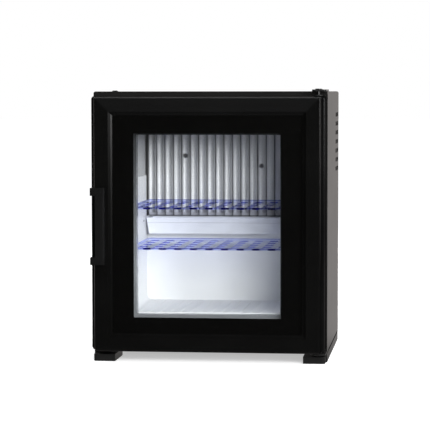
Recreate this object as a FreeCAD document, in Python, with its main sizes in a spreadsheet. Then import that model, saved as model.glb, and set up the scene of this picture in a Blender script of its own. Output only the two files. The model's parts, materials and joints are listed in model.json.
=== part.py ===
import FreeCAD, Part
import math
import os
import re
import Sketcher

# Minibar fridge with a glass door and an absorption cooling unit behind its back wall.
# X runs to the right seen from the front, Y into the depth, Z up. While a piece is drawn,
# Y is zero on the cabinet's front face; at the end every piece moves to the model's own origin,
# which is the bottom centre of the whole object.

SIZES = {
    # sheet-metal cabinet
    "cabinet_width": 400.0,
    "cabinet_top": 459.5,
    "cabinet_base": 18.5,
    "unit_space": 93.4,
    "case_sheet": 1.2,
    "case_corner": 3.6,
    "front_flange": 38.0,
    "rear_flange": 12.0,
    "back_sheet": 1.0,
    # side vents near the rear top
    "vent_height": 7.4,
    "vent_gap": 9.0,
    "vent_pitch": 16.3,
    "vent_start": 2.0,
    "vent_end": 15.4,
    "vent_top": 42.1,
    # moulded liner and foam
    "side_wall": 60.7,
    "bottom_wall": 64.4,
    "top_wall": 45.5,
    "liner_rear": 212.0,
    "liner_skin": 2.0,
    "liner_corner": 9.0,
    "liner_tuck": 4.0,
    "foam_back": 24.0,
    "pad_depth": 2.6,
    "pad_front": 60.0,
    "pad_rear_gap": 26.0,
    "pad_drop": 12.4,
    "pad_rise": 51.6,
    "ledge_reach": 4.6,
    "ledge_thick": 4.0,
    "ledge_front": 24.0,
    "floor_rib_width": 2.4,
    "floor_rib_height": 0.9,
    "floor_rib_front": 14.0,
    "floor_rib_rear": 12.0,
    # shelves
    "shelf_play": 0.8,
    "shelf_front": 12.0,
    "shelf_rear_gap": 4.05,
    "shelf_plate": 3.5,
    "shelf_rim": 7.5,
    "shelf_rim_wall": 2.2,
    "slot_width": 14.2,
    "slot_bar": 12.0,
    "slot_margin": 6.5,
    "slot_side_margin": 8.2,
    "lower_shelf_rise": 105.5,
    "shelf_spacing": 69.6,
    # finned evaporator plate, its saddle, screws and drip tray
    "plate_gap": 0.8,
    "plate_thick": 2.7,
    "plate_head_gap": 7.0,
    "plate_tray_gap": 0.7,
    "fin_tip": 1.8,
    "fin_depth": 8.0,
    "fin_wall": 3.2,
    "trough_bed": 0.27,
    "fin_end_gap": 7.3,
    "plate_bevel": 7.0,
    "saddle_end": 19.2,
    "saddle_height": 26.0,
    "saddle_thick": 12.0,
    "saddle_floor": 1.2,
    "plate_screw_radius": 2.0,
    "plate_screw_head": 4.2,
    "plate_screw_dome": 2.4,
    "plate_screw_length": 12.5,
    "tray_play": 4.4,
    "tray_depth": 39.5,
    "tray_rise": 16.9,
    "tray_height": 28.7,
    "tray_wall": 1.8,
    "tray_lip": 8.8,
    "tray_lip_step": 0.9,
    "tray_end_taper": 5.0,
    "spout_radius": 4.2,
    "spout_wall": 1.0,
    "spout_reach": 8.0,
    "drain_radius": 6.0,
    "drain_wall": 1.5,
    "drain_overhang": 14.0,
    # door
    "door_gap": 8.0,
    "pan_inset": 1.5,
    "pan_rise": 2.1,
    "pan_drop": 7.5,
    "pan_depth": 28.2,
    "pan_play": 1.0,
    "pan_corner": 6.0,
    "pan_round": 5.0,
    "frame_inset": 7.0,
    "frame_overhang": 0.6,
    "frame_drop": 2.0,
    "frame_depth": 14.6,
    "rail_width": 31.0,
    "rail_round": 3.2,
    "rail_chamfer_width": 6.6,
    "rail_chamfer_depth": 4.8,
    "rail_lip": 1.3,
    "rail_lip_reach": 7.0,
    "rail_wall": 2.0,
    "key_arm": 34.0,
    "glass_thick": 4.0,
    "glass_play": 0.3,
    "print_thick": 0.3,
    "border_side": 35.6,
    "border_low": 26.7,
    "border_top": 30.1,
    "spacer_width": 8.0,
    "spacer_depth": 11.8,
    "spacer_inset": 2.5,
    "inner_glass_margin": 23.0,
    "reveal_inset": 2.6,
    "reveal_sill": 4.4,
    "inner_frame_plate": 1.8,
    # magnetic gasket
    "gasket_inset": 14.0,
    "gasket_width": 14.0,
    "gasket_play": 0.3,
    "gasket_wall": 1.4,
    "dart_width": 2.4,
    "dart_depth": 5.0,
    "dart_inset": 24.1,
    "dart_play": 0.3,
    "magnet_width": 7.0,
    "magnet_thick": 2.6,
    # handle
    "handle_rise": 147.5,
    "handle_height": 130.0,
    "handle_overhang": 4.5,
    "handle_bar_inset": 3.9,
    "handle_bar_reach": 20.1,
    "handle_reach": 13.6,
    "handle_wall": 3.0,
    "handle_tab": 13.2,
    "handle_round": 3.6,
    "handle_screw_radius": 2.0,
    "handle_screw_head": 3.6,
    "handle_screw_dome": 1.6,
    "handle_screw_length": 8.0,
    # hinges
    "pin_inset": 14.5,
    "pin_back": 25.0,
    "pin_radius": 3.0,
    "pin_play": 0.05,
    "pin_depth": 14.0,
    "pin_head_radius": 4.8,
    "pin_head_height": 1.4,
    "bush_radius": 4.7,
    "bush_play": 0.1,
    "bush_depth": 18.0,
    "bush_flange_radius": 7.0,
    "bush_flange": 1.5,
    "bracket_sheet": 3.0,
    "bracket_edge": 0.5,
    "bracket_width": 24.0,
    "bracket_front": 36.0,
    "bracket_rear": 46.0,
    "bracket_corner": 6.0,
    "bracket_screw_radius": 2.2,
    "bracket_screw_head": 4.2,
    "bracket_screw_dome": 1.3,
    "bracket_screw_length": 9.0,
    "bracket_screw_front": 16.0,
    "bracket_screw_pitch": 20.0,
    "screw_play": 0.1,
    "plug_inset": 33.6,
    "plug_radius": 5.6,
    "plug_height": 1.6,
    "plug_stem": 3.0,
    "plug_stem_length": 5.0,
    "plug_y": 22.0,
    # foot rails
    "foot_width": 37.3,
    "foot_inset": 2.2,
    "foot_height": 12.0,
    "foot_front": 23.4,
    "foot_length": 80.0,
    "foot_round": 6.0,
    "foot_edge": 0.3,
    "foot_skirt": 3.0,
    "foot_rear_length": 60.0,
    "foot_rear_gap": 14.0,
    "foot_flange_width": 20.0,
    "foot_flange": 3.0,
    "foot_screw_radius": 2.2,
    "foot_screw_head": 4.2,
    "foot_screw_dome": 2.0,
    "foot_screw_length": 9.0,
    "brace_height": 26.0,
    "brace_depth": 20.0,
    # absorption cooling unit behind the back wall
    "boiler_inset": 72.0,
    "boiler_radius": 33.0,
    "boiler_rise": 43.5,
    "boiler_head_gap": 59.0,
    "boiler_rim": 5.0,
    "heater_radius": 7.0,
    "heater_drop": 16.0,
    "heater_depth": 70.0,
    "lead_radius": 2.6,
    "lead_bend": 10.0,
    "lead_rise": 5.5,
    "rectifier_radius": 8.0,
    "rectifier_reach": 26.0,
    "condenser_inset": 50.0,
    "condenser_rise": 10.0,
    "pipe_bend": 14.0,
    "cooling_fin_height": 54.0,
    "cooling_fin_thick": 0.8,
    "cooling_fin_play": 0.1,
    "cooling_fin_margin": 26.0,
    "evaporator_radius": 6.5,
    "evaporator_inset": 35.3,
    "tube_slack": 2.0,
    "opening_margin": 14.0,
    "opening_rise": 40.0,
    "absorber_radius": 6.0,
    "absorber_inset": 50.0,
    "absorber_gap": 10.0,
    "absorber_drop": 60.0,
    "absorber_rise": 23.0,
    "absorber_fall": 5.0,
    "vessel_radius": 27.0,
    "vessel_inset": 32.0,
    "vessel_gap": 12.0,
    "vessel_rise": 16.0,
    "vessel_dome": 8.0,
    "exchanger_radius": 8.0,
    "exchanger_drop": 22.0,
    "exchanger_offset": 17.0,
    "exchanger_run": 30.0,
    "strap_sheet": 1.5,
    "strap_stand": 10.0,
    "strap_height": 22.0,
    "strap_inset": 24.0,
    "strap_foot": 18.0,
    "strap_screw_radius": 2.2,
    "strap_screw_head": 4.2,
    "strap_screw_dome": 2.0,
    "strap_screw_length": 9.0,
    "control_gap": 3.0,
    "control_width": 62.0,
    "control_rise": 36.0,
    "control_height": 44.0,
    "control_depth": 50.0,
    "gland_radius": 8.0,
    "gland_bore": 3.8,
    "gland_length": 14.0,
    "gland_flange": 2.0,
    "cup_half": 26.0,
    "cup_gap": 8.0,
    "cup_height": 28.0,
    "cup_depth": 46.0,
    "cup_wall": 1.6,
    # interior lamp
    "lamp_half": 52.0,
    "lamp_front": 22.0,
    "lamp_depth": 24.0,
    "lamp_height": 7.0,
    "lamp_wall": 1.4,
    "lens_play": 0.2,
    "lens_thick": 1.6,
    # one seat gap for pieces that lie against each other, and one overrun for every cut
    "seat": 0.25,
    "overrun": 2.0,
}

SHARES = {
    "screw_crown_share": 0.6,
    "screw_trough_share": 4.5,
    "screw_left_share": 0.634,
    "screw_right_share": 0.528,
    "foot_screw_front_share": 0.33,
    "foot_screw_rear_share": 0.7,
    "condenser_share": 0.392,
    "absorber_pitch_share": 0.18,
}

COUNTS = {
    "vent_rows": 7,
    "vent_columns": 2,
    "fin_count": 18,
    "slot_columns": 10,
    "slot_rows": 4,
    "floor_ribs": 15,
    "cooling_fins": 22,
    "absorber_passes": 4,
}

# Cells of the spreadsheet

doc = FreeCAD.newDocument("minibar_fridge")
sheet = doc.addObject("Spreadsheet::Sheet", "Sizes")
CELLS = {**SIZES, **SHARES, **COUNTS}
for row, (alias, value) in enumerate(CELLS.items(), 1):
    sheet.set(f"A{row}", alias)
    sheet.set(f"B{row}", str(value))
    sheet.setAlias(f"B{row}", alias)
doc.recompute()

# Places that follow from the sizes, each a sum of sizes and other places

PLACES = {
    # cabinet, from the middle outwards and from the front face backwards
    "cabinet_half": "cabinet_width / 2",
    "foam_rear": "liner_rear + liner_skin + foam_back",
    "unit_face": "foam_rear + back_sheet",
    "cabinet_depth": "unit_face + unit_space",
    "rear_inner": "cabinet_depth - case_sheet",
    "case_inner": "cabinet_half - case_sheet",
    "flange_inner": "cabinet_half - front_flange",
    "bracket_hole": "bracket_screw_radius + screw_play",
    "foot_hole": "foot_screw_radius + screw_play",
    "strap_hole": "strap_screw_radius + screw_play",
    "model_shift": "(door_gap + pan_depth + frame_depth + handle_reach - cabinet_depth) / 2",
    "vent_front": "unit_face + vent_start",
    "vent_length": "(unit_space - vent_start - vent_end - (vent_columns - 1) * vent_gap) / vent_columns",
    "vent_low": "cabinet_top - vent_top - vent_pitch * (vent_rows - 1)",
    # liner, shelves and the pads on the liner's sides
    "liner_half": "cabinet_half - side_wall",
    "liner_floor": "cabinet_base + bottom_wall",
    "liner_ceiling": "cabinet_top - top_wall",
    "lower_shelf_level": "liner_floor + lower_shelf_rise",
    "upper_shelf_level": "lower_shelf_level + shelf_spacing",
    "pad_rear": "liner_rear - pad_rear_gap",
    "pad_low": "lower_shelf_level - pad_drop",
    "pad_top": "upper_shelf_level + pad_rise",
    "floor_rib_pitch": "(2 * liner_half - 2 * liner_corner) / floor_ribs",
    "shelf_half": "liner_half - pad_depth - shelf_play",
    "shelf_rear": "fin_front - shelf_rear_gap",
    "slot_length": "(shelf_rear - shelf_front - 2 * slot_margin - (slot_rows - 1) * slot_bar) / slot_rows",
    "slot_pitch": "(2 * shelf_half - 2 * slot_side_margin - slot_width) / (slot_columns - 1)",
    # evaporator plate, drip tray and saddle
    "tray_half": "liner_half - tray_play",
    "tray_rear": "liner_rear - seat",
    "tray_front": "liner_rear - tray_depth",
    "tray_low": "lower_shelf_level + tray_rise",
    "tray_top": "tray_low + tray_height",
    "tray_foot_half": "tray_half - tray_end_taper",
    "tray_lip_half": "tray_half - tray_end_taper * tray_lip / tray_height",
    "plate_low": "tray_top + plate_tray_gap",
    "plate_top": "liner_ceiling - plate_head_gap",
    "plate_rear": "liner_rear - seat",
    "plate_front": "plate_rear - plate_thick",
    "fin_front": "plate_front - fin_depth",
    "plate_half": "liner_half - plate_gap",
    "fin_pitch": "(2 * plate_half - fin_tip) / fin_count",
    "trough_half": "(fin_pitch - fin_tip) / 2",
    "trough_sag": "fin_depth - fin_wall - trough_bed",
    "trough_round": "(trough_half * trough_half + trough_sag * trough_sag) / (2 * trough_sag)",
    "plate_screw_x": "fin_pitch * screw_trough_share",
    "screw_left_z": "plate_low + (plate_top - plate_low) * screw_left_share",
    "screw_right_z": "plate_low + (plate_top - plate_low) * screw_right_share",
    "saddle_half": "plate_screw_x + saddle_end",
    "saddle_slope": "(screw_right_z - screw_left_z) / (2 * plate_screw_x)",
    "saddle_middle": "(screw_left_z + screw_right_z) / 2",
    "evaporator_x": "liner_half - evaporator_inset",
    "opening_half": "evaporator_x + opening_margin",
    "opening_low": "saddle_middle - opening_rise",
    "opening_top": "saddle_middle + opening_rise",
    "tube_y": "plate_rear + saddle_thick + seat + evaporator_radius",
    "tube_left_z": "saddle_middle - saddle_slope * evaporator_x",
    "tube_right_z": "saddle_middle + saddle_slope * evaporator_x",
    "drain_z": "tray_low + tray_wall + spout_radius",
    "plate_hole": "plate_screw_radius + screw_play",
    "plate_cut": "fin_depth + plate_thick + 2 * overrun",
    # door, from the gap backwards to the front
    "door_rear": "-door_gap",
    "pan_front": "door_rear - pan_depth",
    "door_front": "pan_front - frame_depth",
    "glass_front": "door_front + rail_chamfer_depth + rail_lip + glass_play",
    "glass_rear": "glass_front + glass_thick",
    "print_rear": "glass_rear + print_thick",
    "inner_glass_front": "print_rear + spacer_depth",
    "inner_glass_rear": "inner_glass_front + glass_thick",
    "pan_half": "cabinet_half - pan_inset",
    "pan_low": "cabinet_base + pan_rise",
    "pan_top": "cabinet_top - pan_drop",
    "frame_half": "pan_half - frame_inset",
    "frame_low": "pan_low - frame_overhang",
    "frame_top": "pan_top - frame_drop",
    "window_half": "frame_half - rail_width - border_side",
    "window_low": "frame_low + rail_width + border_low",
    "window_top": "frame_top - rail_width - border_top",
    # handle, hinges and feet
    "handle_left": "frame_half + handle_overhang",
    "handle_bar_left": "frame_half - handle_bar_inset",
    "handle_right": "frame_half - handle_bar_reach",
    "handle_low": "frame_low + handle_rise",
    "handle_top": "handle_low + handle_height",
    "handle_screw_x": "-(handle_bar_left + handle_right) / 2",
    "handle_hole": "handle_screw_radius + screw_play",
    "pin_x": "cabinet_half - pin_inset",
    "pin_y": "-pin_back",
    "plug_x": "plug_inset - cabinet_half",
    "foot_screw_x": "cabinet_half - foot_edge - foot_flange_width / 2",
    # cooling unit
    "strap_face": "unit_face + strap_stand",
    "strap_half": "cabinet_half - strap_inset",
    "strap_screw_x": "strap_half - strap_foot / 2",
    "boiler_x": "cabinet_half - boiler_inset",
    "boiler_y": "strap_face + seat + boiler_radius",
    "boiler_low": "cabinet_base + boiler_rise",
    "boiler_top": "tube_right_z - boiler_head_gap",
    "vessel_y": "strap_face + seat + vessel_radius",
    "vessel_level": "boiler_low + vessel_rise",
    "vessel_left": "cabinet_half - vessel_inset",
    "vessel_right": "control_left - vessel_gap",
    "condenser_half": "cabinet_half - condenser_inset",
    "condenser_low": "tube_left_z + (cabinet_top - tube_left_z) * condenser_share",
    "condenser_top": "condenser_low + condenser_rise",
    "rectifier_x": "boiler_x - rectifier_reach",
    "cooling_fin_left": "condenser_half - cooling_fin_margin",
    "cooling_fin_pitch": "(rectifier_x - cooling_fin_margin + cooling_fin_left) / (cooling_fins - 1)",
    "absorber_left": "cabinet_half - absorber_inset",
    "absorber_right": "control_left - absorber_gap",
    "absorber_drop_x": "absorber_right - absorber_drop",
    "absorber_low": "vessel_level + vessel_radius + absorber_rise",
    "absorber_pitch": "(tube_right_z - absorber_fall - absorber_low) * absorber_pitch_share",
    "absorber_bend": "(absorber_pitch - absorber_fall - seat) / 2",
    "exchanger_start": "vessel_level - exchanger_radius",
    "exchanger_level": "boiler_low - exchanger_drop",
    "exchanger_bend": "(exchanger_start - exchanger_level - seat) / 2",
    "heater_low": "boiler_low - heater_drop",
    "lead_level": "cabinet_base + lead_rise",
    "control_right": "boiler_x - boiler_radius - control_gap",
    "control_left": "control_right - control_width",
    "control_low": "boiler_low + control_rise",
    "control_top": "control_low + control_height",
    "spout_x": "(control_left + control_right) / 2",
    "cup_low": "control_top + cup_gap",
    "cup_top": "cup_low + cup_height",
}

SIDES = {"left": -1, "right": 1}
AXIS_TURNS = {
    "X": FreeCAD.Rotation(FreeCAD.Vector(0, 1, 0), 90),
    "Y": FreeCAD.Rotation(FreeCAD.Vector(1, 0, 0), -90),
    "Z": FreeCAD.Rotation(),
}

nodes = {}


def bind(text):
    """The same sum with each place written out and each size's name pointing at its cell."""
    def spell(word):
        name = word.group()
        if name in PLACES:
            return f"({bind(PLACES[name])})"
        return f"Sizes.{name}" if name in CELLS else name
    return re.sub(r"[a-z]\w*", spell, str(text))


def number(text):
    """Present value of a sum of sizes."""
    return float(sheet.evalExpression(bind(text)))


def place(*sums):
    return FreeCAD.Vector(*(number(text) for text in sums))


def mirrored(low, high, side):
    """A range of X given for the right side, as it lies on the chosen side."""
    return (low, high) if side > 0 else (f"-({high})", f"-({low})")


# Sketches and features of a body

def arc_between(start, end, radius, turn):
    """Arc from start to end, anticlockwise when turn is positive."""
    chord = end - start
    height = math.sqrt(max(radius ** 2 - chord.Length ** 2 / 4, 0))
    normal = FreeCAD.Vector(-chord.y, chord.x, 0).normalize()
    centre = (start + end) / 2 + normal * height * turn
    first, last = (start, end) if turn > 0 else (end, start)
    angles = [math.atan2(point.y - centre.y, point.x - centre.x) for point in (first, last)]
    circle = Part.Circle(centre, FreeCAD.Vector(0, 0, 1), radius)
    return Part.ArcOfCircle(circle, *angles)


def add_outline(drawing, corners):
    """Closed outline; a corner with a radius and a turn is reached by an arc."""
    base = drawing.GeometryCount
    spots = [place(corner[0], corner[1], "0") for corner in corners]
    count = len(corners)
    ends = []
    for index, corner in enumerate(corners):
        start = spots[index - 1]
        if len(corner) == 2:
            drawing.addGeometry(Part.LineSegment(start, spots[index]))
            ends.append((1, 2))
        else:
            drawing.addGeometry(arc_between(start, spots[index], number(corner[2]), corner[3]))
            ends.append((1, 2) if corner[3] > 0 else (2, 1))
    links = []
    for index in range(count):
        following = (index + 1) % count
        links.append(Sketcher.Constraint("Coincident", base + index, ends[index][1],
                                         base + following, ends[following][0]))
    drawing.addConstraint(links)
    for index, corner in enumerate(corners):
        for kind, size, spot in (("X", corner[0], spots[index].x), ("Y", corner[1], spots[index].y)):
            rule = Sketcher.Constraint(f"Distance{kind}", -1, 1, base + index, ends[index][1], spot)
            name = f"{kind.lower()}_{base + index}"
            drawing.renameConstraint(drawing.addConstraint(rule), name)
            drawing.setExpression(f"Constraints.{name}", bind(size))
        if len(corner) > 2:
            rule = Sketcher.Constraint("Radius", base + index, number(corner[2]))
            name = f"radius_{base + index}"
            drawing.renameConstraint(drawing.addConstraint(rule), name)
            drawing.setExpression(f"Constraints.{name}", bind(corner[2]))


def draw(body, plane, level, *outlines):
    """Sketch of closed outlines on one of the body's planes, moved to a level along the plane's axis."""
    drawing = body.newObject("Sketcher::SketchObject", f"{body.Name}_outline")
    support = next(item for item in body.Origin.OriginFeatures if item.Role == f"{plane}_Plane")
    drawing.AttachmentSupport = (support, [""])
    drawing.MapMode = "FlatFace"
    drawing.setExpression("AttachmentOffset.Base.z", bind(f"-({level})" if plane == "XZ" else level))
    for corners in outlines:
        add_outline(drawing, corners)
    return drawing


def runs_backwards(drawing):
    return drawing.AttachmentSupport[0][0].Role == "XZ_Plane"


def new_body(name):
    return doc.addObject("PartDesign::Body", name)


def pad(body, drawing, length):
    """Pad towards the positive end of the axis that the sketch faces."""
    feature = body.newObject("PartDesign::Pad", f"{body.Name}_pad")
    feature.Profile = drawing
    feature.Reversed = runs_backwards(drawing)
    feature.setExpression("Length", bind(length))
    return feature


def pocket(body, drawing, length):
    """Pocket towards the positive end of the axis that the sketch faces; it has to take something away."""
    doc.recompute()
    before = body.Shape.Volume
    feature = body.newObject("PartDesign::Pocket", f"{body.Name}_pocket")
    feature.Profile = drawing
    feature.Reversed = not runs_backwards(drawing)
    feature.setExpression("Length", bind(length))
    doc.recompute()
    if body.Shape.Volume >= before:
        raise RuntimeError(f"{feature.Name} takes nothing away")
    return feature


def repeat(body, feature, axis, pitch, count, second=None):
    """Row or grid of a feature along the body's own axes."""
    pattern = body.newObject("PartDesign::LinearPattern", f"{body.Name}_pattern")
    pattern.Originals = [feature]
    body.Tip = pattern
    rows = [(axis, pitch, count)] + ([second] if second else [])
    for suffix, (name, step, copies) in zip(("", "2"), rows):
        line = next(item for item in body.Origin.OriginFeatures if item.Role == f"{name}_Axis")
        setattr(pattern, f"Direction{suffix}", (line, [""]))
        pattern.setExpression(f"Length{suffix}", bind(f"({step}) * ({copies} - 1)"))
        pattern.setExpression(f"Occurrences{suffix}", bind(copies))
    return pattern


def round_edges(body, radius, chosen):
    """Fillet of the edges that the test picks."""
    doc.recompute()
    tip = body.Tip
    names = [f"Edge{index}" for index, edge in enumerate(tip.Shape.Edges, 1) if chosen(edge)]
    feature = body.newObject("PartDesign::Fillet", f"{body.Name}_fillet")
    feature.Base = (tip, names)
    feature.setExpression("Radius", bind(radius))
    return feature


def rectangle(low_x, high_x, low_y, high_y):
    return [(low_x, low_y), (high_x, low_y), (high_x, high_y), (low_x, high_y)]


def rounded_rectangle(low_x, high_x, low_y, high_y, radius):
    """Rectangle with its corners as arcs."""
    left, right = f"({low_x}) + {radius}", f"({high_x}) - {radius}"
    low, high = f"({low_y}) + {radius}", f"({high_y}) - {radius}"
    return [(right, low_y), (high_x, low, radius, 1), (high_x, high), (right, high_y, radius, 1),
            (left, high_y), (low_x, high, radius, 1), (low_x, low), (left, low_y, radius, 1)]


# Part primitives and booleans

def box(name, x, y, z):
    """Box between two places on each axis."""
    item = doc.addObject("Part::Box", name)
    for size, axis, (low, high) in zip(("Length", "Width", "Height"), "xyz", (x, y, z)):
        item.setExpression(size, bind(f"({high}) - ({low})"))
        item.setExpression(f"Placement.Base.{axis}", bind(low))
    return item


def rod(name, radius, start, length, axis="Z"):
    """Cylinder from a start point along an axis."""
    item = doc.addObject("Part::Cylinder", name)
    item.Placement = FreeCAD.Placement(FreeCAD.Vector(), AXIS_TURNS[axis])
    item.setExpression("Radius", bind(radius))
    item.setExpression("Height", bind(length))
    for key, text in zip("xyz", start):
        item.setExpression(f"Placement.Base.{key}", bind(text))
    return item


def dome(name, radius, height, start, axis="Z", turned=False):
    """Low cone-shaped screw head that narrows away from its seat."""
    item = doc.addObject("Part::Cone", name)
    spin = AXIS_TURNS[axis]
    if turned:
        spin = spin.multiply(FreeCAD.Rotation(FreeCAD.Vector(1, 0, 0), 180))
    item.Placement = FreeCAD.Placement(FreeCAD.Vector(), spin)
    item.setExpression("Radius1", bind(radius))
    item.setExpression("Radius2", bind(f"({radius}) * screw_crown_share"))
    item.setExpression("Height", bind(height))
    for key, text in zip("xyz", start):
        item.setExpression(f"Placement.Base.{key}", bind(text))
    return item


def join(name, *items):
    item = doc.addObject("Part::MultiFuse", name)
    item.Shapes = list(items)
    item.Refine = True
    return item


def cut(name, base, *tools):
    item = doc.addObject("Part::Cut", name)
    item.Base = base
    item.Tool = tools[0] if len(tools) == 1 else join(f"{name}_tools", *tools)
    return item


def group(name, *items):
    item = doc.addObject("Part::Compound", name)
    item.Links = list(items)
    return item


def ring(name, outer, inner, y):
    """Flat rectangular frame that faces the front: outer and inner give its half width, bottom and top."""
    body = new_body(name)
    outlines = [rectangle(f"-({half})", half, low, top) for half, low, top in (outer, inner)]
    pad(body, draw(body, "XZ", y[0], *outlines), f"({y[1]}) - ({y[0]})")
    return body


def tube(name, points, radius, bend):
    """Round pipe along straight runs joined by tangent arcs."""
    spots = [place(*point) for point in points]
    size, turn_radius = number(radius), number(bend)
    edges = []
    here = spots[0]
    for index in range(1, len(spots) - 1):
        before = (spots[index] - spots[index - 1]).normalize()
        after = (spots[index + 1] - spots[index]).normalize()
        turn = before.getAngle(after)
        set_back = turn_radius * math.tan(turn / 2)
        start, end = spots[index] - before * set_back, spots[index] + after * set_back
        inward = (after - before).normalize()
        middle = spots[index] + inward * (turn_radius / math.cos(turn / 2) - turn_radius)
        edges += [Part.LineSegment(here, start).toShape(), Part.Arc(start, middle, end).toShape()]
        here = end
    edges.append(Part.LineSegment(here, spots[-1]).toShape())
    path = Part.Wire(edges)
    profile = Part.Wire(Part.makeCircle(size, spots[0], edges[0].tangentAt(edges[0].FirstParameter)))
    item = doc.addObject("Part::Feature", name)
    item.Shape = path.makePipeShell([profile], True, False)
    wanted = math.pi * size ** 2 * path.Length
    if abs(item.Shape.Volume - wanted) > wanted / 100:
        raise RuntimeError(f"{name} is not a clean pipe")
    return item


def keep(item):
    """Move a finished piece to the model's origin and list it as a node."""
    own = [text for path, text in item.ExpressionEngine if path.endswith("Placement.Base.y")]
    move = bind("model_shift")
    item.setExpression("Placement.Base.y", f"({own[0]}) + {move}" if own else move)
    item.Label = item.Name
    nodes[item.Name] = item


def add_circle(drawing, x, y, radius):
    """Circle with its centre and radius tied to the sizes."""
    index = drawing.addGeometry(Part.Circle(place(x, y, "0"), FreeCAD.Vector(0, 0, 1), number(radius)))
    for kind, size in (("X", x), ("Y", y)):
        rule = Sketcher.Constraint(f"Distance{kind}", -1, 1, index, 3, number(size))
        name = f"{kind.lower()}_{index}"
        drawing.renameConstraint(drawing.addConstraint(rule), name)
        drawing.setExpression(f"Constraints.{name}", bind(size))
    rule = Sketcher.Constraint("Radius", index, number(radius))
    name = f"radius_{index}"
    drawing.renameConstraint(drawing.addConstraint(rule), name)
    drawing.setExpression(f"Constraints.{name}", bind(radius))


def draw_circles(body, plane, level, centres, radius):
    drawing = draw(body, plane, level)
    for x, y in centres:
        add_circle(drawing, x, y, radius)
    return drawing


# Places of screws and the opening behind the evaporator

STRAP_LEVELS = {"upper": "(condenser_low - strap_height / 2)", "lower": "(vessel_level - strap_height / 2)"}
STRAP_SCREWS = [(f"{sign} * strap_screw_x", f"{level} + strap_height / 2")
                for level in STRAP_LEVELS.values() for sign in (-1, 1)]
BRACKET_SCREWS = [("pin_x", "bracket_screw_front"), ("pin_x", "bracket_screw_front + bracket_screw_pitch")]
FOOT_SCREWS = [(f"{sign} * foot_screw_x", f"cabinet_depth * {share}")
               for sign in (-1, 1) for share in ("foot_screw_front_share", "foot_screw_rear_share")]
PLATE_SCREWS = [("-plate_screw_x", "screw_left_z"), ("plate_screw_x", "screw_right_z")]
OPENING = rectangle("-opening_half", "opening_half", "opening_low", "opening_top")


# Sheet-metal cabinet

def wrap_outline(reach):
    """Case seen from the front: its outside, and an inside that lies at the given reach."""
    left, right = "-cabinet_half", "cabinet_half"
    outside = [(right, "cabinet_base"), (right, "cabinet_top - case_corner"),
               (f"{right} - case_corner", "cabinet_top", "case_corner", 1),
               (f"{left} + case_corner", "cabinet_top"),
               (left, "cabinet_top - case_corner", "case_corner", 1), (left, "cabinet_base")]
    inside = [(f"{left} + {reach}", "cabinet_base"), (f"{left} + {reach}", f"cabinet_top - {reach}"),
              (f"{right} - {reach}", f"cabinet_top - {reach}"), (f"{right} - {reach}", "cabinet_base")]
    return outside + inside


def sheet_wrap_outline():
    """The same outside with an inside that follows it at one sheet's thickness."""
    left, right, bend = "-cabinet_half", "cabinet_half", "(case_corner - case_sheet)"
    inside = [(f"{left} + case_sheet", "cabinet_base"),
              (f"{left} + case_sheet", "cabinet_top - case_corner"),
              (f"{left} + case_corner", "cabinet_top - case_sheet", bend, -1),
              (f"{right} - case_corner", "cabinet_top - case_sheet"),
              (f"{right} - case_sheet", "cabinet_top - case_corner", bend, -1),
              (f"{right} - case_sheet", "cabinet_base")]
    return wrap_outline("case_sheet")[:6] + inside


def make_outer_case():
    case = new_body("outer_case")
    pad(case, draw(case, "XZ", "0", sheet_wrap_outline()), "cabinet_depth")
    pad(case, draw(case, "XZ", "0", wrap_outline("front_flange")), "case_sheet")
    pad(case, draw(case, "XZ", "rear_inner", wrap_outline("rear_flange")), "case_sheet")
    slot = rectangle("vent_front", "vent_front + vent_length", "vent_low - vent_height / 2",
                     "vent_low + vent_height / 2")
    vent = pocket(case, draw(case, "YZ", "-cabinet_half - overrun", slot), "cabinet_width + 2 * overrun")
    repeat(case, vent, "Y", "vent_length + vent_gap", "vent_columns", ("Z", "vent_pitch", "vent_rows"))
    holes = draw_circles(case, "XY", "cabinet_top - case_sheet - overrun", BRACKET_SCREWS,
                         "bracket_hole")
    add_circle(holes, "plug_x", "plug_y", "plug_stem + screw_play")
    pocket(case, holes, "case_sheet + 2 * overrun")
    keep(case)


def make_bottom_panel():
    front = box("bottom_front", ("-flange_inner", "flange_inner"), ("0", "unit_face"),
                ("cabinet_base", "cabinet_base + case_sheet"))
    flange = box("bottom_flange", ("-flange_inner", "flange_inner"), ("0", "case_sheet"),
                 ("cabinet_base", "cabinet_base + front_flange"))
    floor = box("bottom_floor", ("-case_inner", "case_inner"), ("case_sheet", "unit_face"),
                ("cabinet_base", "cabinet_base + case_sheet"))
    circles = [(x, y, "bracket_hole") for x, y in BRACKET_SCREWS]
    circles += [(x, y, "foot_hole") for x, y in FOOT_SCREWS]
    holes = []
    for index, (x, y, radius) in enumerate(circles):
        holes.append(rod(f"bottom_hole_{index}", radius, (x, y, "cabinet_base - overrun"),
                         "case_sheet + 2 * overrun"))
    keep(cut("bottom_panel", join("bottom_sheet", front, flange, floor), *holes))


def inner_case_outline():
    """Space inside the case, with the case's own rounded top corners."""
    left, right, bend = "-case_inner", "case_inner", "(case_corner - case_sheet)"
    top = "(cabinet_top - case_sheet)"
    return [(left, "cabinet_base + case_sheet"), (right, "cabinet_base + case_sheet"),
            (right, f"{top} - {bend}"), (f"{right} - {bend}", top, bend, 1),
            (f"{left} + {bend}", top), (left, f"{top} - {bend}", bend, 1)]


def make_back_panel():
    panel = new_body("back_panel")
    pad(panel, draw(panel, "XZ", "foam_rear", inner_case_outline(), OPENING), "back_sheet")
    start = "foam_rear - overrun"
    pocket(panel, draw_circles(panel, "XZ", start, STRAP_SCREWS, "strap_hole"),
           "back_sheet + 2 * overrun")
    pocket(panel, draw_circles(panel, "XZ", start, [("spout_x", "drain_z")], "drain_radius + seat"),
           "back_sheet + 2 * overrun")
    keep(panel)


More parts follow.
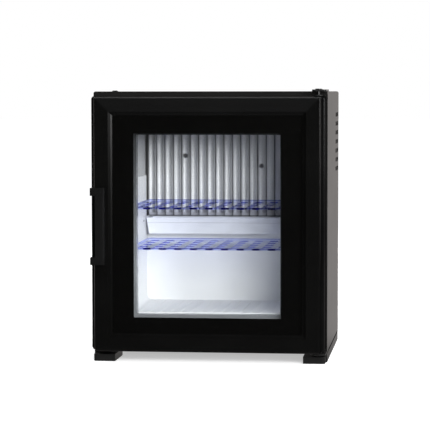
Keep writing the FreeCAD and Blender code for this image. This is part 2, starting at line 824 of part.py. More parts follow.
def make_insulation():
    foam = new_body("insulation")
    pad(foam, draw(foam, "XZ", "case_sheet", inner_case_outline()), "foam_rear - case_sheet")
    tub = rectangle("-liner_half - liner_skin", "liner_half + liner_skin", "liner_floor - liner_skin",
                    "liner_ceiling + liner_skin")
    pocket(foam, draw(foam, "XZ", "case_sheet - overrun", tub),
           "liner_rear + liner_skin - case_sheet + overrun")
    pocket(foam, draw(foam, "XZ", "case_sheet - overrun", liner_flange_outline()), "liner_skin + overrun")
    pocket(foam, draw(foam, "XZ", "liner_rear", OPENING), "foam_rear - liner_rear + overrun")
    pocket(foam, draw_circles(foam, "XZ", "liner_rear", [("spout_x", "drain_z")], "drain_radius + seat"),
           "foam_rear - liner_rear + overrun")
    pocket(foam, draw_circles(foam, "XZ", "foam_rear - strap_screw_length", STRAP_SCREWS,
                              "strap_hole"), "strap_screw_length + overrun")
    top_holes = draw_circles(foam, "XY", "cabinet_top - bracket_screw_length", BRACKET_SCREWS,
                             "bracket_hole")
    add_circle(top_holes, "plug_x", "plug_y", "plug_stem + screw_play")
    pocket(foam, top_holes, "bracket_screw_length + overrun")
    low_holes = draw_circles(foam, "XY", "cabinet_base", BRACKET_SCREWS, "bracket_hole")
    pocket(foam, low_holes, "bracket_screw_length")
    foot_holes = draw_circles(foam, "XY", "cabinet_base", FOOT_SCREWS, "foot_hole")
    pocket(foam, foot_holes, "foot_screw_length")
    keep(foam)


def make_insulation_plug():
    plug = new_body("insulation_plug")
    pad(plug, draw(plug, "XZ", "liner_rear + liner_skin", OPENING), "unit_face - liner_rear - liner_skin")
    pocket(plug, draw(plug, "XZ", "liner_rear", saddle_outline("evaporator_x + evaporator_radius + seat",
                                                               "saddle_height / 2 + seat")),
           "tube_y + evaporator_radius + seat - liner_rear")
    for sign, level in ((-1, "tube_left_z"), (1, "tube_right_z")):
        low, high = mirrored("evaporator_x - pipe_bend", "evaporator_x + evaporator_radius + seat", sign)
        way = rectangle(low, high, f"{level} - evaporator_radius - tube_slack",
                        f"{level} + evaporator_radius + tube_slack")
        pocket(plug, draw(plug, "XZ", "tube_y", way), "unit_face - tube_y + overrun")
    keep(plug)


# Moulded liner

def liner_flange_outline():
    return rectangle("front_flange - liner_tuck - cabinet_half", "cabinet_half - front_flange + liner_tuck",
                     "cabinet_base + front_flange - liner_tuck", "cabinet_top - front_flange + liner_tuck")


def make_inner_liner():
    liner = new_body("inner_liner")
    tub = rounded_rectangle("-liner_half - liner_skin", "liner_half + liner_skin",
                            "liner_floor - liner_skin", "liner_ceiling + liner_skin",
                            "(liner_corner + liner_skin)")
    mouth = rounded_rectangle("-liner_half", "liner_half", "liner_floor", "liner_ceiling", "liner_corner")
    pad(liner, draw(liner, "XZ", "case_sheet", tub), "liner_rear + liner_skin - case_sheet")
    pad(liner, draw(liner, "XZ", "case_sheet", liner_flange_outline()), "liner_skin")
    pocket(liner, draw(liner, "XZ", "case_sheet - overrun", mouth), "liner_rear - case_sheet + overrun")
    for sign in SIDES.values():
        low, high = mirrored("liner_half - pad_depth", "liner_half + liner_skin / 2", sign)
        pad(liner, draw(liner, "XZ", "pad_front", rectangle(low, high, "pad_low", "pad_top")),
            "pad_rear - pad_front")
        low, high = mirrored("liner_half - pad_depth - ledge_reach", "liner_half + liner_skin / 2", sign)
        ledges = [rectangle(low, high, f"{level} - seat - ledge_thick", f"{level} - seat")
                  for level in ("upper_shelf_level", "lower_shelf_level")]
        pad(liner, draw(liner, "XZ", "ledge_front", *ledges), "pad_rear - ledge_front")
    first = "(-liner_half + liner_corner + floor_rib_pitch / 2)"
    rib = rectangle(f"{first} - floor_rib_width / 2", f"{first} + floor_rib_width / 2",
                    "liner_floor - liner_skin / 2", "liner_floor + floor_rib_height")
    ribs = pad(liner, draw(liner, "XZ", "floor_rib_front", rib),
               "liner_rear - floor_rib_rear - floor_rib_front")
    repeat(liner, ribs, "X", "floor_rib_pitch", "floor_ribs")
    pocket(liner, draw(liner, "XZ", "liner_rear - overrun", OPENING), "liner_skin + 2 * overrun")
    pocket(liner, draw_circles(liner, "XZ", "liner_rear - overrun", [("spout_x", "drain_z")],
                               "spout_radius + seat"), "liner_skin + 2 * overrun")
    keep(liner)


# Foot rails and rear brace

def make_foot_rail(name, sign):
    rail = new_body(f"foot_rail_{name}")
    outer = "(cabinet_half - foot_inset)"
    inner = f"({outer} - foot_width)"
    front, rear = "(-foot_front)", "(foot_length - foot_front)"
    block = [(inner, front), (f"{outer} - foot_round", front),
             (outer, f"{front} + foot_round", "foot_round", 1), (outer, rear), (inner, rear)]
    pad(rail, draw(rail, "XY", "0", flipped(block, sign)), "foot_height")
    lowered = "cabinet_base - bracket_sheet - seat"
    skirt = [("foot_edge", "0"), ("cabinet_depth", "0"), ("cabinet_depth", "cabinet_base"),
             ("bracket_rear + foot_edge", "cabinet_base"), ("bracket_rear + foot_edge", lowered),
             ("foot_edge", lowered)]
    low, _ = mirrored("cabinet_half - foot_edge - foot_skirt", "cabinet_half - foot_edge", sign)
    pad(rail, draw(rail, "YZ", low, skirt), "foot_skirt")
    low, high = mirrored(inner, outer, sign)
    rear_block = rectangle(low, high, "cabinet_depth - foot_rear_gap - foot_rear_length",
                           "cabinet_depth - foot_rear_gap")
    pad(rail, draw(rail, "XY", "0", rear_block), "cabinet_base")
    low, high = mirrored("cabinet_half - foot_edge - foot_flange_width", "cabinet_half - foot_edge", sign)
    flange = rectangle(low, high, "bracket_rear + foot_edge", "cabinet_depth - foot_rear_gap")
    pad(rail, draw(rail, "XY", "cabinet_base - foot_flange", flange), "foot_flange")
    holes = [(x, y) for x, y in FOOT_SCREWS if x.startswith("-") == (sign < 0)]
    pocket(rail, draw_circles(rail, "XY", "cabinet_base - foot_flange - overrun", holes,
                              "foot_hole"), "foot_flange + 2 * overrun")
    keep(rail)


def flipped(corners, sign):
    """Outline drawn for the right side, mirrored in X when the side is the left one."""
    if sign > 0:
        return corners
    turned = []
    for index, corner in enumerate(corners):
        turned.append((f"-({corner[0]})", corner[1]) + ((corner[2], -corner[3]) if len(corner) > 2 else ()))
    return turned


def make_screws(name, places_list, radius, head, dome_height, length, axis, level, up):
    """Group of equal screws: a domed head on its seat and a shank the other way."""
    screws = []
    for index, (first, second) in enumerate(places_list):
        if axis == "Z":
            seat_point = (first, second, level)
            tail_point = (first, second, f"({level}) - ({length})" if up else level)
        else:
            seat_point = (first, level, second)
            tail_point = (first, f"({level}) - ({length})" if up else level, second)
        shank = rod(f"{name}_shank_{index}", radius, tail_point, length, axis)
        cap = dome(f"{name}_head_{index}", head, dome_height, seat_point, axis, turned=not up)
        screws.append(join(f"{name}_{index}", shank, cap))
    keep(group(name, *screws))


def make_rear_brace():
    side = "(cabinet_half - case_sheet)"
    wall = box("brace_wall", (f"-{side}", side), ("rear_inner - case_sheet", "rear_inner"),
               ("cabinet_base", "cabinet_base + brace_height"))
    foot = box("brace_foot", (f"-{side}", side), ("rear_inner - brace_depth", "rear_inner"),
               ("cabinet_base", "cabinet_base + case_sheet"))
    keep(join("rear_brace", wall, foot))


# Hinges

def make_hinge_bracket(name, level):
    bracket = new_body(f"{name}_hinge_bracket")
    outer = "(cabinet_half - bracket_edge)"
    inner = f"({outer} - bracket_width)"
    outline = rounded_rectangle(inner, outer, "-bracket_front", "bracket_rear", "bracket_corner")
    pad(bracket, draw(bracket, "XY", level, outline), "bracket_sheet")
    pocket(bracket, draw_circles(bracket, "XY", f"{level} - overrun", [("pin_x", "pin_y")],
                                 "pin_radius + pin_play"), "bracket_sheet + 2 * overrun")
    pocket(bracket, draw_circles(bracket, "XY", f"{level} - overrun", BRACKET_SCREWS,
                                 "bracket_hole"), "bracket_sheet + 2 * overrun")
    keep(bracket)


def make_hinge_pins():
    low, high = "pan_top - pin_depth", "cabinet_top + bracket_sheet"
    shank = rod("top_pin_shank", "pin_radius", ("pin_x", "pin_y", low), f"{high} - ({low})")
    head = rod("top_pin_head", "pin_head_radius", ("pin_x", "pin_y", high), "pin_head_height")
    keep(join("top_hinge_pin", shank, head))
    low, high = "cabinet_base - bracket_sheet", "pan_low + pin_depth"
    shank = rod("bottom_pin_shank", "pin_radius", ("pin_x", "pin_y", low), f"{high} - ({low})")
    head = rod("bottom_pin_head", "pin_head_radius", ("pin_x", "pin_y", f"{low} - pin_head_height"),
               "pin_head_height")
    keep(join("bottom_hinge_pin", shank, head))


def make_bush(name, shank_low, shank_high, flange_low, flange_high, lowest):
    shank = rod(f"{name}_shank", "bush_radius", ("pin_x", "pin_y", shank_low),
                f"({shank_high}) - ({shank_low})")
    flange = rod(f"{name}_flange", "bush_flange_radius", ("pin_x", "pin_y", flange_low),
                 f"({flange_high}) - ({flange_low})")
    bore = rod(f"{name}_bore", "pin_radius + pin_play", ("pin_x", "pin_y", f"{lowest} - overrun"),
               "bush_depth + bush_flange + 4 * overrun")
    keep(cut(f"{name}_hinge_bush", join(f"{name}_bush_body", shank, flange), bore))


def make_bracket_screws():
    screws = []
    for name, level, tail, up in (("top", "cabinet_top + bracket_sheet", "-bracket_screw_length", True),
                                  ("bottom", "cabinet_base - bracket_sheet", "0", False)):
        for index, (x, y) in enumerate(BRACKET_SCREWS):
            shank = rod(f"{name}_screw_shank_{index}", "bracket_screw_radius", (x, y, f"{level} + {tail}"),
                        "bracket_screw_length")
            cap = dome(f"{name}_screw_head_{index}", "bracket_screw_head", "bracket_screw_dome",
                       (x, y, level), turned=not up)
            screws.append(join(f"{name}_screw_{index}", shank, cap))
    keep(group("bracket_screws", *screws))


def make_blanking_plug():
    stem = rod("plug_stem_rod", "plug_stem", ("plug_x", "plug_y", "cabinet_top - plug_stem_length"),
               "plug_stem_length")
    cap = dome("plug_cap", "plug_radius", "plug_height", ("plug_x", "plug_y", "cabinet_top"))
    keep(join("blanking_plug", stem, cap))


# Evaporator inside the cabinet

def saddle_outline(half_length, half_height):
    """Slanted bar seen from the front; the slope lets the coolant run down it."""
    corners = []
    for sign, rise in ((-1, -1), (1, -1), (1, 1), (-1, 1)):
        x = f"{sign} * ({half_length})"
        corners.append((x, f"saddle_middle + saddle_slope * ({x}) + {rise} * ({half_height})"))
    return corners


def make_evaporator_plate():
    plate = new_body("evaporator_plate")
    tip = "(plate_front - fin_depth)"
    root = f"({tip} + fin_wall)"
    corners = [("-plate_half", "plate_rear"), ("-plate_half", tip)]
    for index in range(COUNTS["fin_count"]):
        left = f"(-plate_half + {index} * fin_pitch + fin_tip)"
        right = f"(-plate_half + {index + 1} * fin_pitch)"
        corners += [(left, tip), (left, root), (right, root, "trough_round", -1), (right, tip)]
    corners += [("plate_half", tip), ("plate_half", "plate_rear")]
    pad(plate, draw(plate, "XY", "plate_low", corners), "plate_top - plate_low")
    wide = "plate_half + overrun"
    start = f"{tip} - overrun"
    ends = rectangle(f"-({wide})", wide, "plate_low - overrun", "plate_low + fin_end_gap")
    pocket(plate, draw(plate, "XZ", start, ends), "fin_depth + overrun")
    for sign in SIDES.values():
        bevel = [(f"{sign} * (plate_half - plate_bevel)", "plate_low - overrun"),
                 (f"{sign} * ({wide})", "plate_low - overrun"),
                 (f"{sign} * ({wide})", "plate_low + plate_bevel")]
        pocket(plate, draw(plate, "XZ", start, bevel), "plate_cut")
    pocket(plate, draw_circles(plate, "XZ", start, PLATE_SCREWS, "plate_screw_head + seat"),
           "fin_depth + overrun")
    pocket(plate, draw_circles(plate, "XZ", start, PLATE_SCREWS, "plate_hole"),
           "plate_cut")
    keep(plate)


def make_evaporator_saddle():
    saddle = new_body("evaporator_saddle")
    pad(saddle, draw(saddle, "XZ", "plate_rear", saddle_outline("saddle_half", "saddle_height / 2")),
        "saddle_thick")
    pocket(saddle, draw_circles(saddle, "XZ", "plate_rear - overrun", PLATE_SCREWS, "plate_hole"),
           "saddle_thick - saddle_floor + overrun")
    keep(saddle)


def make_evaporator_screws():
    screws = []
    for index, (x, z) in enumerate(PLATE_SCREWS):
        start = (x, "plate_front", z)
        shank = rod(f"plate_shank_{index}", "plate_screw_radius", start, "plate_screw_length", "Y")
        cap = dome(f"plate_head_{index}", "plate_screw_head", "plate_screw_dome", start, "Y", turned=True)
        screws.append(join(f"plate_screw_{index}", shank, cap))
    keep(group("evaporator_screws", *screws))


def make_drip_tray():
    tray = new_body("drip_tray")
    front = [("-tray_foot_half", "tray_low"), ("tray_foot_half", "tray_low"), ("tray_half", "tray_top"),
             ("-tray_half", "tray_top")]
    pad(tray, draw(tray, "XZ", "tray_front", front), "tray_rear - tray_front")
    lip = [("-tray_lip_half", "tray_top - tray_lip"), ("tray_lip_half", "tray_top - tray_lip"),
           ("tray_half", "tray_top"), ("-tray_half", "tray_top")]
    pad(tray, draw(tray, "XZ", "tray_front - tray_lip_step", lip), "tray_lip_step")
    hollow = rectangle("tray_wall - tray_foot_half", "tray_foot_half - tray_wall", "tray_front + tray_wall",
                       "tray_rear - tray_wall")
    pocket(tray, draw(tray, "XY", "tray_low + tray_wall", hollow), "tray_height")
    spot = [("spout_x", "drain_z")]
    pad(tray, draw_circles(tray, "XZ", "tray_rear - tray_wall / 2", spot, "spout_radius"),
        "tray_wall / 2 + liner_skin + spout_reach")
    pocket(tray, draw_circles(tray, "XZ", "tray_rear - tray_wall - overrun", spot, "spout_radius - spout_wall"),
           "tray_wall + liner_skin + spout_reach + 3 * overrun")
    keep(tray)


def make_drain_tube():
    start = "liner_rear + liner_skin + seat"
    length = f"unit_face + drain_overhang - ({start})"
    outside = rod("drain_outside", "drain_radius", ("spout_x", start, "drain_z"), length, "Y")
    inside = rod("drain_inside", "drain_radius - drain_wall", ("spout_x", f"{start} - overrun", "drain_z"),
                 f"{length} + 2 * overrun", "Y")
    keep(cut("drain_tube", outside, inside))


def make_open_box(name, x, y, z, wall):
    """Box without a lid."""
    outside = box(f"{name}_outside", x, y, z)
    inside = box(f"{name}_inside", (f"{x[0]} + {wall}", f"{x[1]} - {wall}"),
                 (f"{y[0]} + {wall}", f"{y[1]} - {wall}"), (f"{z[0]} + {wall}", f"{z[1]} + overrun"))
    return cut(name, outside, inside)


# Shelves

def make_shelf(name, level):
    shelf = new_body(name)
    tread = rectangle("-shelf_half", "shelf_half", "shelf_front", "shelf_rear")
    pad(shelf, draw(shelf, "XY", level, tread), "shelf_plate")
    rim = [("-shelf_half", "shelf_front"), ("-shelf_half + shelf_rim_wall", "shelf_front"),
           ("-shelf_half + shelf_rim_wall", "shelf_rear - shelf_rim_wall"),
           ("shelf_half - shelf_rim_wall", "shelf_rear - shelf_rim_wall"),
           ("shelf_half - shelf_rim_wall", "shelf_front"), ("shelf_half", "shelf_front"),
           ("shelf_half", "shelf_rear"), ("-shelf_half", "shelf_rear")]
    pad(shelf, draw(shelf, "XY", level, rim), "shelf_rim")
    left = "(slot_side_margin - shelf_half)"
    front = "(shelf_front + slot_margin)"
    slot = rectangle(left, f"{left} + slot_width", front, f"{front} + slot_length")
    first = pocket(shelf, draw(shelf, "XY", f"{level} - overrun", slot), "shelf_plate + 2 * overrun")
    repeat(shelf, first, "X", "slot_pitch", "slot_columns", ("Y", "slot_length + slot_bar", "slot_rows"))
    keep(shelf)


# Door

def rail_profile(to_sketch, turn):
    """Hollow section: u runs inwards from the rail's outer edge, v backwards from its front face."""
    lip = "(rail_chamfer_depth + rail_lip)"
    inner = "(rail_width - rail_lip_reach)"
    outside = [("rail_round", "0", "rail_round", turn), ("rail_width - rail_chamfer_width", "0"),
               ("rail_width", "rail_chamfer_depth"), ("rail_width", lip), (inner, lip),
               (inner, "frame_depth"), ("0", "frame_depth"), ("0", "rail_round")]
    cavity = [("rail_wall", "rail_wall"), (f"{inner} - rail_wall", "rail_wall"),
              (f"{inner} - rail_wall", "frame_depth - rail_wall"), ("rail_wall", "frame_depth - rail_wall")]
    return [[to_sketch(corner[0], corner[1]) + tuple(corner[2:]) for corner in outline]
            for outline in (outside, cavity)]


def cut_mitre(body, side, level, upright):
    """Take the far half of a corner off, along the 45 degree line from the outer to the inner corner."""
    corner_x = f"{side} * frame_half"
    corner_z = "frame_top" if level > 0 else "frame_low"
    far, near = "(rail_width + overrun)", "overrun"
    outer = (f"{corner_x} + {side} * {near}", f"{corner_z} + {level} * {near}")
    inner = (f"{corner_x} - {side} * {far}", f"{corner_z} - {level} * {far}")
    third = (inner[0], outer[1]) if upright else (outer[0], inner[1])
    pocket(body, draw(body, "XZ", "door_front - overrun", [outer, inner, third]), "frame_depth + 2 * overrun")


def make_upright_rail(name, side):
    rail = new_body(f"{name}_rail")
    profile = rail_profile(lambda u, v: (f"{side} * (frame_half - ({u}))", f"door_front + {v}"), -side)
    pad(rail, draw(rail, "XY", "frame_low", *profile), "frame_top - frame_low")
    for level in (-1, 1):
        cut_mitre(rail, side, level, True)
    if side < 0:
        holes = draw_circles(rail, "XZ", "door_front - overrun", HANDLE_SCREWS, "handle_hole")
        pocket(rail, holes, "rail_wall + 2 * overrun")
    keep(rail)


def make_level_rail(name, level):
    rail = new_body(f"{name}_rail")
    if level > 0:
        profile = rail_profile(lambda u, v: (f"door_front + {v}", f"frame_top - ({u})"), 1)
    else:
        profile = rail_profile(lambda u, v: (f"door_front + {v}", f"frame_low + ({u})"), -1)
    pad(rail, draw(rail, "YZ", "-frame_half", *profile), "2 * frame_half")
    for side in SIDES.values():
        cut_mitre(rail, side, level, False)
    keep(rail)


def make_corner_keys():
    keys = []
    y = ("door_front + rail_wall + seat", "door_front + frame_depth - rail_wall - seat")
    near, far = "(rail_wall + seat)", "(rail_width - rail_lip_reach - rail_wall - seat)"
    for side in (-1, 1):
        for level in (-1, 1):
            name = f"key_{'right' if side > 0 else 'left'}_{'top' if level > 0 else 'bottom'}"
            short = mirrored(f"frame_half - {far}", f"frame_half - {near}", side)
            long = mirrored(f"frame_half - {near} - key_arm", f"frame_half - {near}", side)
            ranges = []
            for reach in (far, f"({near} + key_arm)"):
                ranges.append((f"frame_top - {reach}", f"frame_top - {near}") if level > 0
                              else (f"frame_low + {near}", f"frame_low + {reach}"))
            arms = [box(f"{name}_level", long, y, ranges[0]), box(f"{name}_upright", short, y, ranges[1])]
            keys.append(join(name, *arms))
    keep(group("corner_keys", *keys))


def around(half, low, top, inset):
    """Half width, bottom and top of a frame drawn inside another by an inset."""
    return f"({half}) - ({inset})", f"({low}) + ({inset})", f"({top}) - ({inset})"


PAN = ("pan_half", "pan_low", "pan_top")
GLASS = around("frame_half", "frame_low", "frame_top", "rail_width - rail_lip_reach + glass_play")
WINDOW = ("window_half", "window_low", "window_top")
INNER_GLASS = around(*WINDOW, "-inner_glass_margin")
PAN_OPENING = around(*WINDOW, "-inner_glass_margin - pan_play")
REVEAL = ("window_half - reveal_inset", "window_low + reveal_sill", "window_top - reveal_inset")
GASKET_OUTER = around(*PAN, "gasket_inset")
GASKET_INNER = around(*PAN, "gasket_inset + gasket_width")
HANDLE_SCREWS = [("handle_screw_x", "handle_low + handle_tab / 2"),
                 ("handle_screw_x", "handle_top - handle_tab / 2")]


def frame_outline(size):
    half, low, top = size
    return rectangle(f"-({half})", half, low, top)


def make_door_pan():
    pan = new_body("door_pan")
    outside = rounded_rectangle("-pan_half", "pan_half", "pan_low", "pan_top", "pan_corner")
    pad(pan, draw(pan, "XZ", "pan_front", outside, frame_outline(PAN_OPENING)), "pan_depth")
    half, low, top = (number(value) for value in PAN_OPENING)
    front, reach = number("pan_front"), number("seat")

    def on_outer_front_edge(edge):
        middle = edge.BoundBox.Center
        outside = abs(middle.x) > half + reach or not low - reach < middle.z < top + reach
        return outside and edge.BoundBox.YMax < front + reach

    round_edges(pan, "pan_round", on_outer_front_edge)
    seat_front = "(print_rear + seat)"
    pad(pan, draw(pan, "XZ", seat_front, frame_outline(GLASS), frame_outline(PAN_OPENING)),
        f"pan_front - {seat_front}")
    groove_outer = around(*PAN, "dart_inset - dart_play")
    groove_inner = around(*PAN, "dart_inset + dart_width + dart_play")
    pocket(pan, draw(pan, "XZ", "door_rear - dart_depth - dart_play", frame_outline(groove_outer),
                     frame_outline(groove_inner)), "dart_depth + dart_play + overrun")
    hole = "bush_radius + bush_play"
    pocket(pan, draw_circles(pan, "XY", "pan_top - bush_depth - bush_play", [("pin_x", "pin_y")], hole),
           "bush_depth + overrun")
    pocket(pan, draw_circles(pan, "XY", "pan_low - overrun", [("pin_x", "pin_y")], hole),
           "bush_depth + bush_play + overrun")
    keep(pan)


def make_glazing():
    half, low, top = GLASS
    keep(box("outer_glass", (f"-({half})", half), ("glass_front", "glass_rear"), (low, top)))
    keep(ring("printed_border", GLASS, WINDOW, ("glass_rear", "print_rear")))
    spacer_outer = around(*WINDOW, "-spacer_inset - spacer_width")
    spacer_inner = around(*WINDOW, "-spacer_inset")
    keep(ring("glazing_spacer", spacer_outer, spacer_inner, ("print_rear", "inner_glass_front")))
    half, low, top = INNER_GLASS
    keep(box("inner_glass", (f"-({half})", half), ("inner_glass_front", "inner_glass_rear"), (low, top)))


def make_inner_frame():
    frame = new_body("inner_frame")
    pad(frame, draw(frame, "XZ", "inner_glass_rear + seat", frame_outline(around(*PAN_OPENING, "seat")),
                    frame_outline(REVEAL)), "door_rear - inner_glass_rear - seat")
    flange = around(*PAN, "gasket_inset + gasket_width + seat")
    pad(frame, draw(frame, "XZ", "door_rear", frame_outline(flange), frame_outline(REVEAL)),
        "inner_frame_plate")
    keep(frame)


def make_gasket():
    gasket = new_body("door_gasket")
    pad(gasket, draw(gasket, "XZ", "door_rear", frame_outline(GASKET_OUTER), frame_outline(GASKET_INNER)),
        "door_gap - gasket_play")
    channel_outer = around(*PAN, "gasket_inset + gasket_wall")
    channel_inner = around(*PAN, "gasket_inset + gasket_wall + magnet_width + 2 * seat")
    pocket(gasket, draw(gasket, "XZ", "door_rear - overrun", frame_outline(channel_outer),
                        frame_outline(channel_inner)), "overrun + door_gap - gasket_play - gasket_wall")
    dart = [frame_outline(around(*PAN, "dart_inset")), frame_outline(around(*PAN, "dart_inset + dart_width"))]
    pad(gasket, draw(gasket, "XZ", "door_rear - dart_depth", *dart), "dart_depth + gasket_wall")
    keep(gasket)


def make_magnet_strips():
    outer = around(*PAN, "gasket_inset + gasket_wall + seat")
    inner = around(*PAN, "gasket_inset + gasket_wall + seat + magnet_width")
    y = ("-gasket_play - gasket_wall - seat - magnet_thick", "-gasket_play - gasket_wall - seat")
    strips = []
    for name, sign in SIDES.items():
        strips.append(box(f"magnet_{name}", mirrored(inner[0], outer[0], sign), y,
                          (f"{inner[1]} + seat", f"{inner[2]} - seat")))
    strips.append(box("magnet_bottom", (f"-({outer[0]})", outer[0]), y, (outer[1], inner[1])))
    strips.append(box("magnet_top", (f"-({outer[0]})", outer[0]), y, (inner[2], outer[2])))
    keep(group("magnet_strips", *strips))


def make_handle():
    handle = new_body("handle")
    front, rear = "(door_front - handle_reach)", "door_front"
    bend = [("-handle_right - handle_round", front),
            ("-handle_right", f"{front} + handle_round", "handle_round", 1), ("-handle_right", rear)]
    bar = [("-handle_bar_left", front)] + bend + [("-handle_right - handle_wall", rear),
                                                 ("-handle_right - handle_wall", f"{front} + handle_wall"),
                                                 ("-handle_bar_left", f"{front} + handle_wall")]
    tab = [("-handle_left", front)] + bend + [("-handle_left", rear)]
    pad(handle, draw(handle, "XY", "handle_low", bar), "handle_top - handle_low")
    for level in ("handle_low", "handle_top - handle_tab"):
        pad(handle, draw(handle, "XY", level, tab), "handle_tab")
    pocket(handle, draw_circles(handle, "XZ", "door_front - handle_screw_length", HANDLE_SCREWS,
                                "handle_hole"), "handle_screw_length + overrun")
    keep(handle)


def make_handle_screws():
    screws = []
    seat_y = "(door_front + rail_wall)"
    for index, (x, z) in enumerate(HANDLE_SCREWS):
        shank = rod(f"handle_shank_{index}", "handle_screw_radius", (x, f"{seat_y} - handle_screw_length", z),
                    "handle_screw_length", "Y")
        cap = dome(f"handle_head_{index}", "handle_screw_head", "handle_screw_dome", (x, seat_y, z), "Y")
        screws.append(join(f"handle_screw_{index}", shank, cap))
    keep(group("handle_screws", *screws))


# Absorption cooling unit

def make_boiler():
    casing = new_body("boiler_casing")
    pad(casing, draw_circles(casing, "XY", "boiler_low", [("boiler_x", "boiler_y")], "boiler_radius"),
        "boiler_top - boiler_low")
    pocket(casing, draw_circles(casing, "XY", "boiler_low - overrun", [("boiler_x", "boiler_y")],
                                "heater_radius + screw_play"), "heater_depth + overrun")
    reach = number("seat")
    top = number("boiler_top")
    round_edges(casing, "boiler_rim", lambda edge: edge.BoundBox.ZLength < reach
                and abs(edge.BoundBox.Center.z - top) < reach)
    keep(casing)
    keep(rod("heater_cartridge", "heater_radius", ("boiler_x", "boiler_y", "heater_low"),
             "heater_drop + heater_depth - seat"))


def condenser_level(x):
    """Height of the sloping condenser line at a place along X."""
    return f"(condenser_low + condenser_rise * (({x}) + condenser_half) / (boiler_x + condenser_half))"


def make_pipes():
    joint = ("rectifier_x", "boiler_y", condenser_level("rectifier_x"))
    keep(tube("rectifier_pipe", [("boiler_x", "boiler_y", "boiler_top"),
                                 ("boiler_x", "boiler_y", "condenser_top"), joint],
              "rectifier_radius", "pipe_bend"))
    left = ("-evaporator_x", "strap_face", "tube_left_z")
    right = ("evaporator_x", "strap_face", "tube_right_z")
    keep(tube("condenser_tube", [joint, ("-condenser_half", "boiler_y", "condenser_low"),
                                 ("-condenser_half", "boiler_y", "tube_left_z"),
                                 ("-evaporator_x", "boiler_y", "tube_left_z"), left],
              "evaporator_radius", "pipe_bend"))
    keep(tube("evaporator_tube", [left, ("-evaporator_x", "tube_y", "tube_left_z"),
                                  ("evaporator_x", "tube_y", "tube_right_z"), right],
              "evaporator_radius", "pipe_bend"))
    route = [right, ("evaporator_x", "vessel_y", "tube_right_z"),
             ("absorber_right", "vessel_y", "tube_right_z - absorber_fall")]
    ends = ["absorber_right", "-absorber_left"]
    for index in range(COUNTS["absorber_passes"]):
        last = index == COUNTS["absorber_passes"] - 1
        level = f"(absorber_low + (absorber_passes - 1 - {index}) * absorber_pitch)"
        route.append((ends[0], "vessel_y", level))
        route.append(("absorber_drop_x" if last else ends[1], "vessel_y", f"{level} - absorber_fall"))
        ends.reverse()
    route.append(("absorber_drop_x", "vessel_y", "vessel_level + vessel_radius + seat"))
    keep(tube("absorber_coil", route, "absorber_radius", "absorber_bend"))
    foot_x = "(boiler_x - exchanger_offset)"
    turn_x = "(vessel_right + exchanger_run)"
    keep(tube("heat_exchanger_pipe", [("vessel_right", "vessel_y", "exchanger_start"),
                                      (turn_x, "vessel_y", "exchanger_start"),
                                      (turn_x, "vessel_y", "exchanger_level"),
                                      (foot_x, "vessel_y", "exchanger_level"),
                                      (foot_x, "vessel_y", "boiler_low")],
              "exchanger_radius", "exchanger_bend"))
    lead_y = "(unit_face + control_depth / 2)"
    keep(tube("heater_lead", [("boiler_x", "boiler_y", "heater_low"), ("boiler_x", "boiler_y", "lead_level"),
                              ("spout_x", lead_y, "lead_level"), ("spout_x", lead_y, "control_low")],
              "lead_radius", "lead_bend"))


def make_vessel():
    vessel = new_body("absorber_vessel")
    pad(vessel, draw_circles(vessel, "YZ", "-vessel_left", [("vessel_y", "vessel_level")], "vessel_radius"),
        "vessel_left + vessel_right")
    reach = number("seat")
    round_edges(vessel, "vessel_dome", lambda edge: edge.BoundBox.XLength < reach)
    keep(vessel)


def make_condenser_fins():
    fins = []
    for index in range(COUNTS["cooling_fins"]):
        x = f"(-cooling_fin_left + {index} * cooling_fin_pitch)"
        level = condenser_level(x)
        plate = box(f"fin_plate_{index}", (x, f"{x} + cooling_fin_thick"),
                    ("boiler_y - boiler_radius", "boiler_y + boiler_radius"),
                    (f"{level} - cooling_fin_height / 2", f"{level} + cooling_fin_height / 2"))
        bore = rod(f"fin_bore_{index}", "evaporator_radius + cooling_fin_play",
                   (f"{x} - overrun", "boiler_y", level), "cooling_fin_thick + 2 * overrun", "X")
        fins.append(cut(f"cooling_fin_{index}", plate, bore))
    keep(group("condenser_fins", *fins))


def make_strap(name, level):
    strap = new_body(f"{name}_strap")
    outer, inner = "strap_half", "(strap_half - strap_foot)"
    base, face = "unit_face", "strap_face"
    right = [(inner, f"{face} - strap_sheet"), (inner, base), (outer, base),
             (outer, f"{base} + strap_sheet"),
             (f"{inner} + strap_sheet", f"{base} + strap_sheet"), (f"{inner} + strap_sheet", face)]
    left = [(f"-({x})", y) for x, y in reversed(right)]
    pad(strap, draw(strap, "XY", level, right + left), "strap_height")
    holes = [(x, z) for x, z in STRAP_SCREWS if z.startswith(level)]
    pocket(strap, draw_circles(strap, "XZ", f"{base} - overrun", holes, "strap_hole"),
           "strap_sheet + 2 * overrun")
    keep(strap)


def make_control_box():
    keep(box("control_box", ("control_left", "control_right"), ("unit_face", "unit_face + control_depth"),
             ("control_low", "control_top")))
    centre = ("spout_x", "unit_face + control_depth", "(control_low + control_top) / 2")
    flange = rod("gland_flange_rod", "gland_radius + gland_flange", centre, "gland_flange", "Y")
    nut = rod("gland_nut", "gland_radius", centre, "gland_length", "Y")
    bore = rod("gland_bore_rod", "gland_bore", (centre[0], f"{centre[1]} - overrun", centre[2]),
               "gland_length + 2 * overrun", "Y")
    keep(cut("cable_gland", join("gland_body", flange, nut), bore))


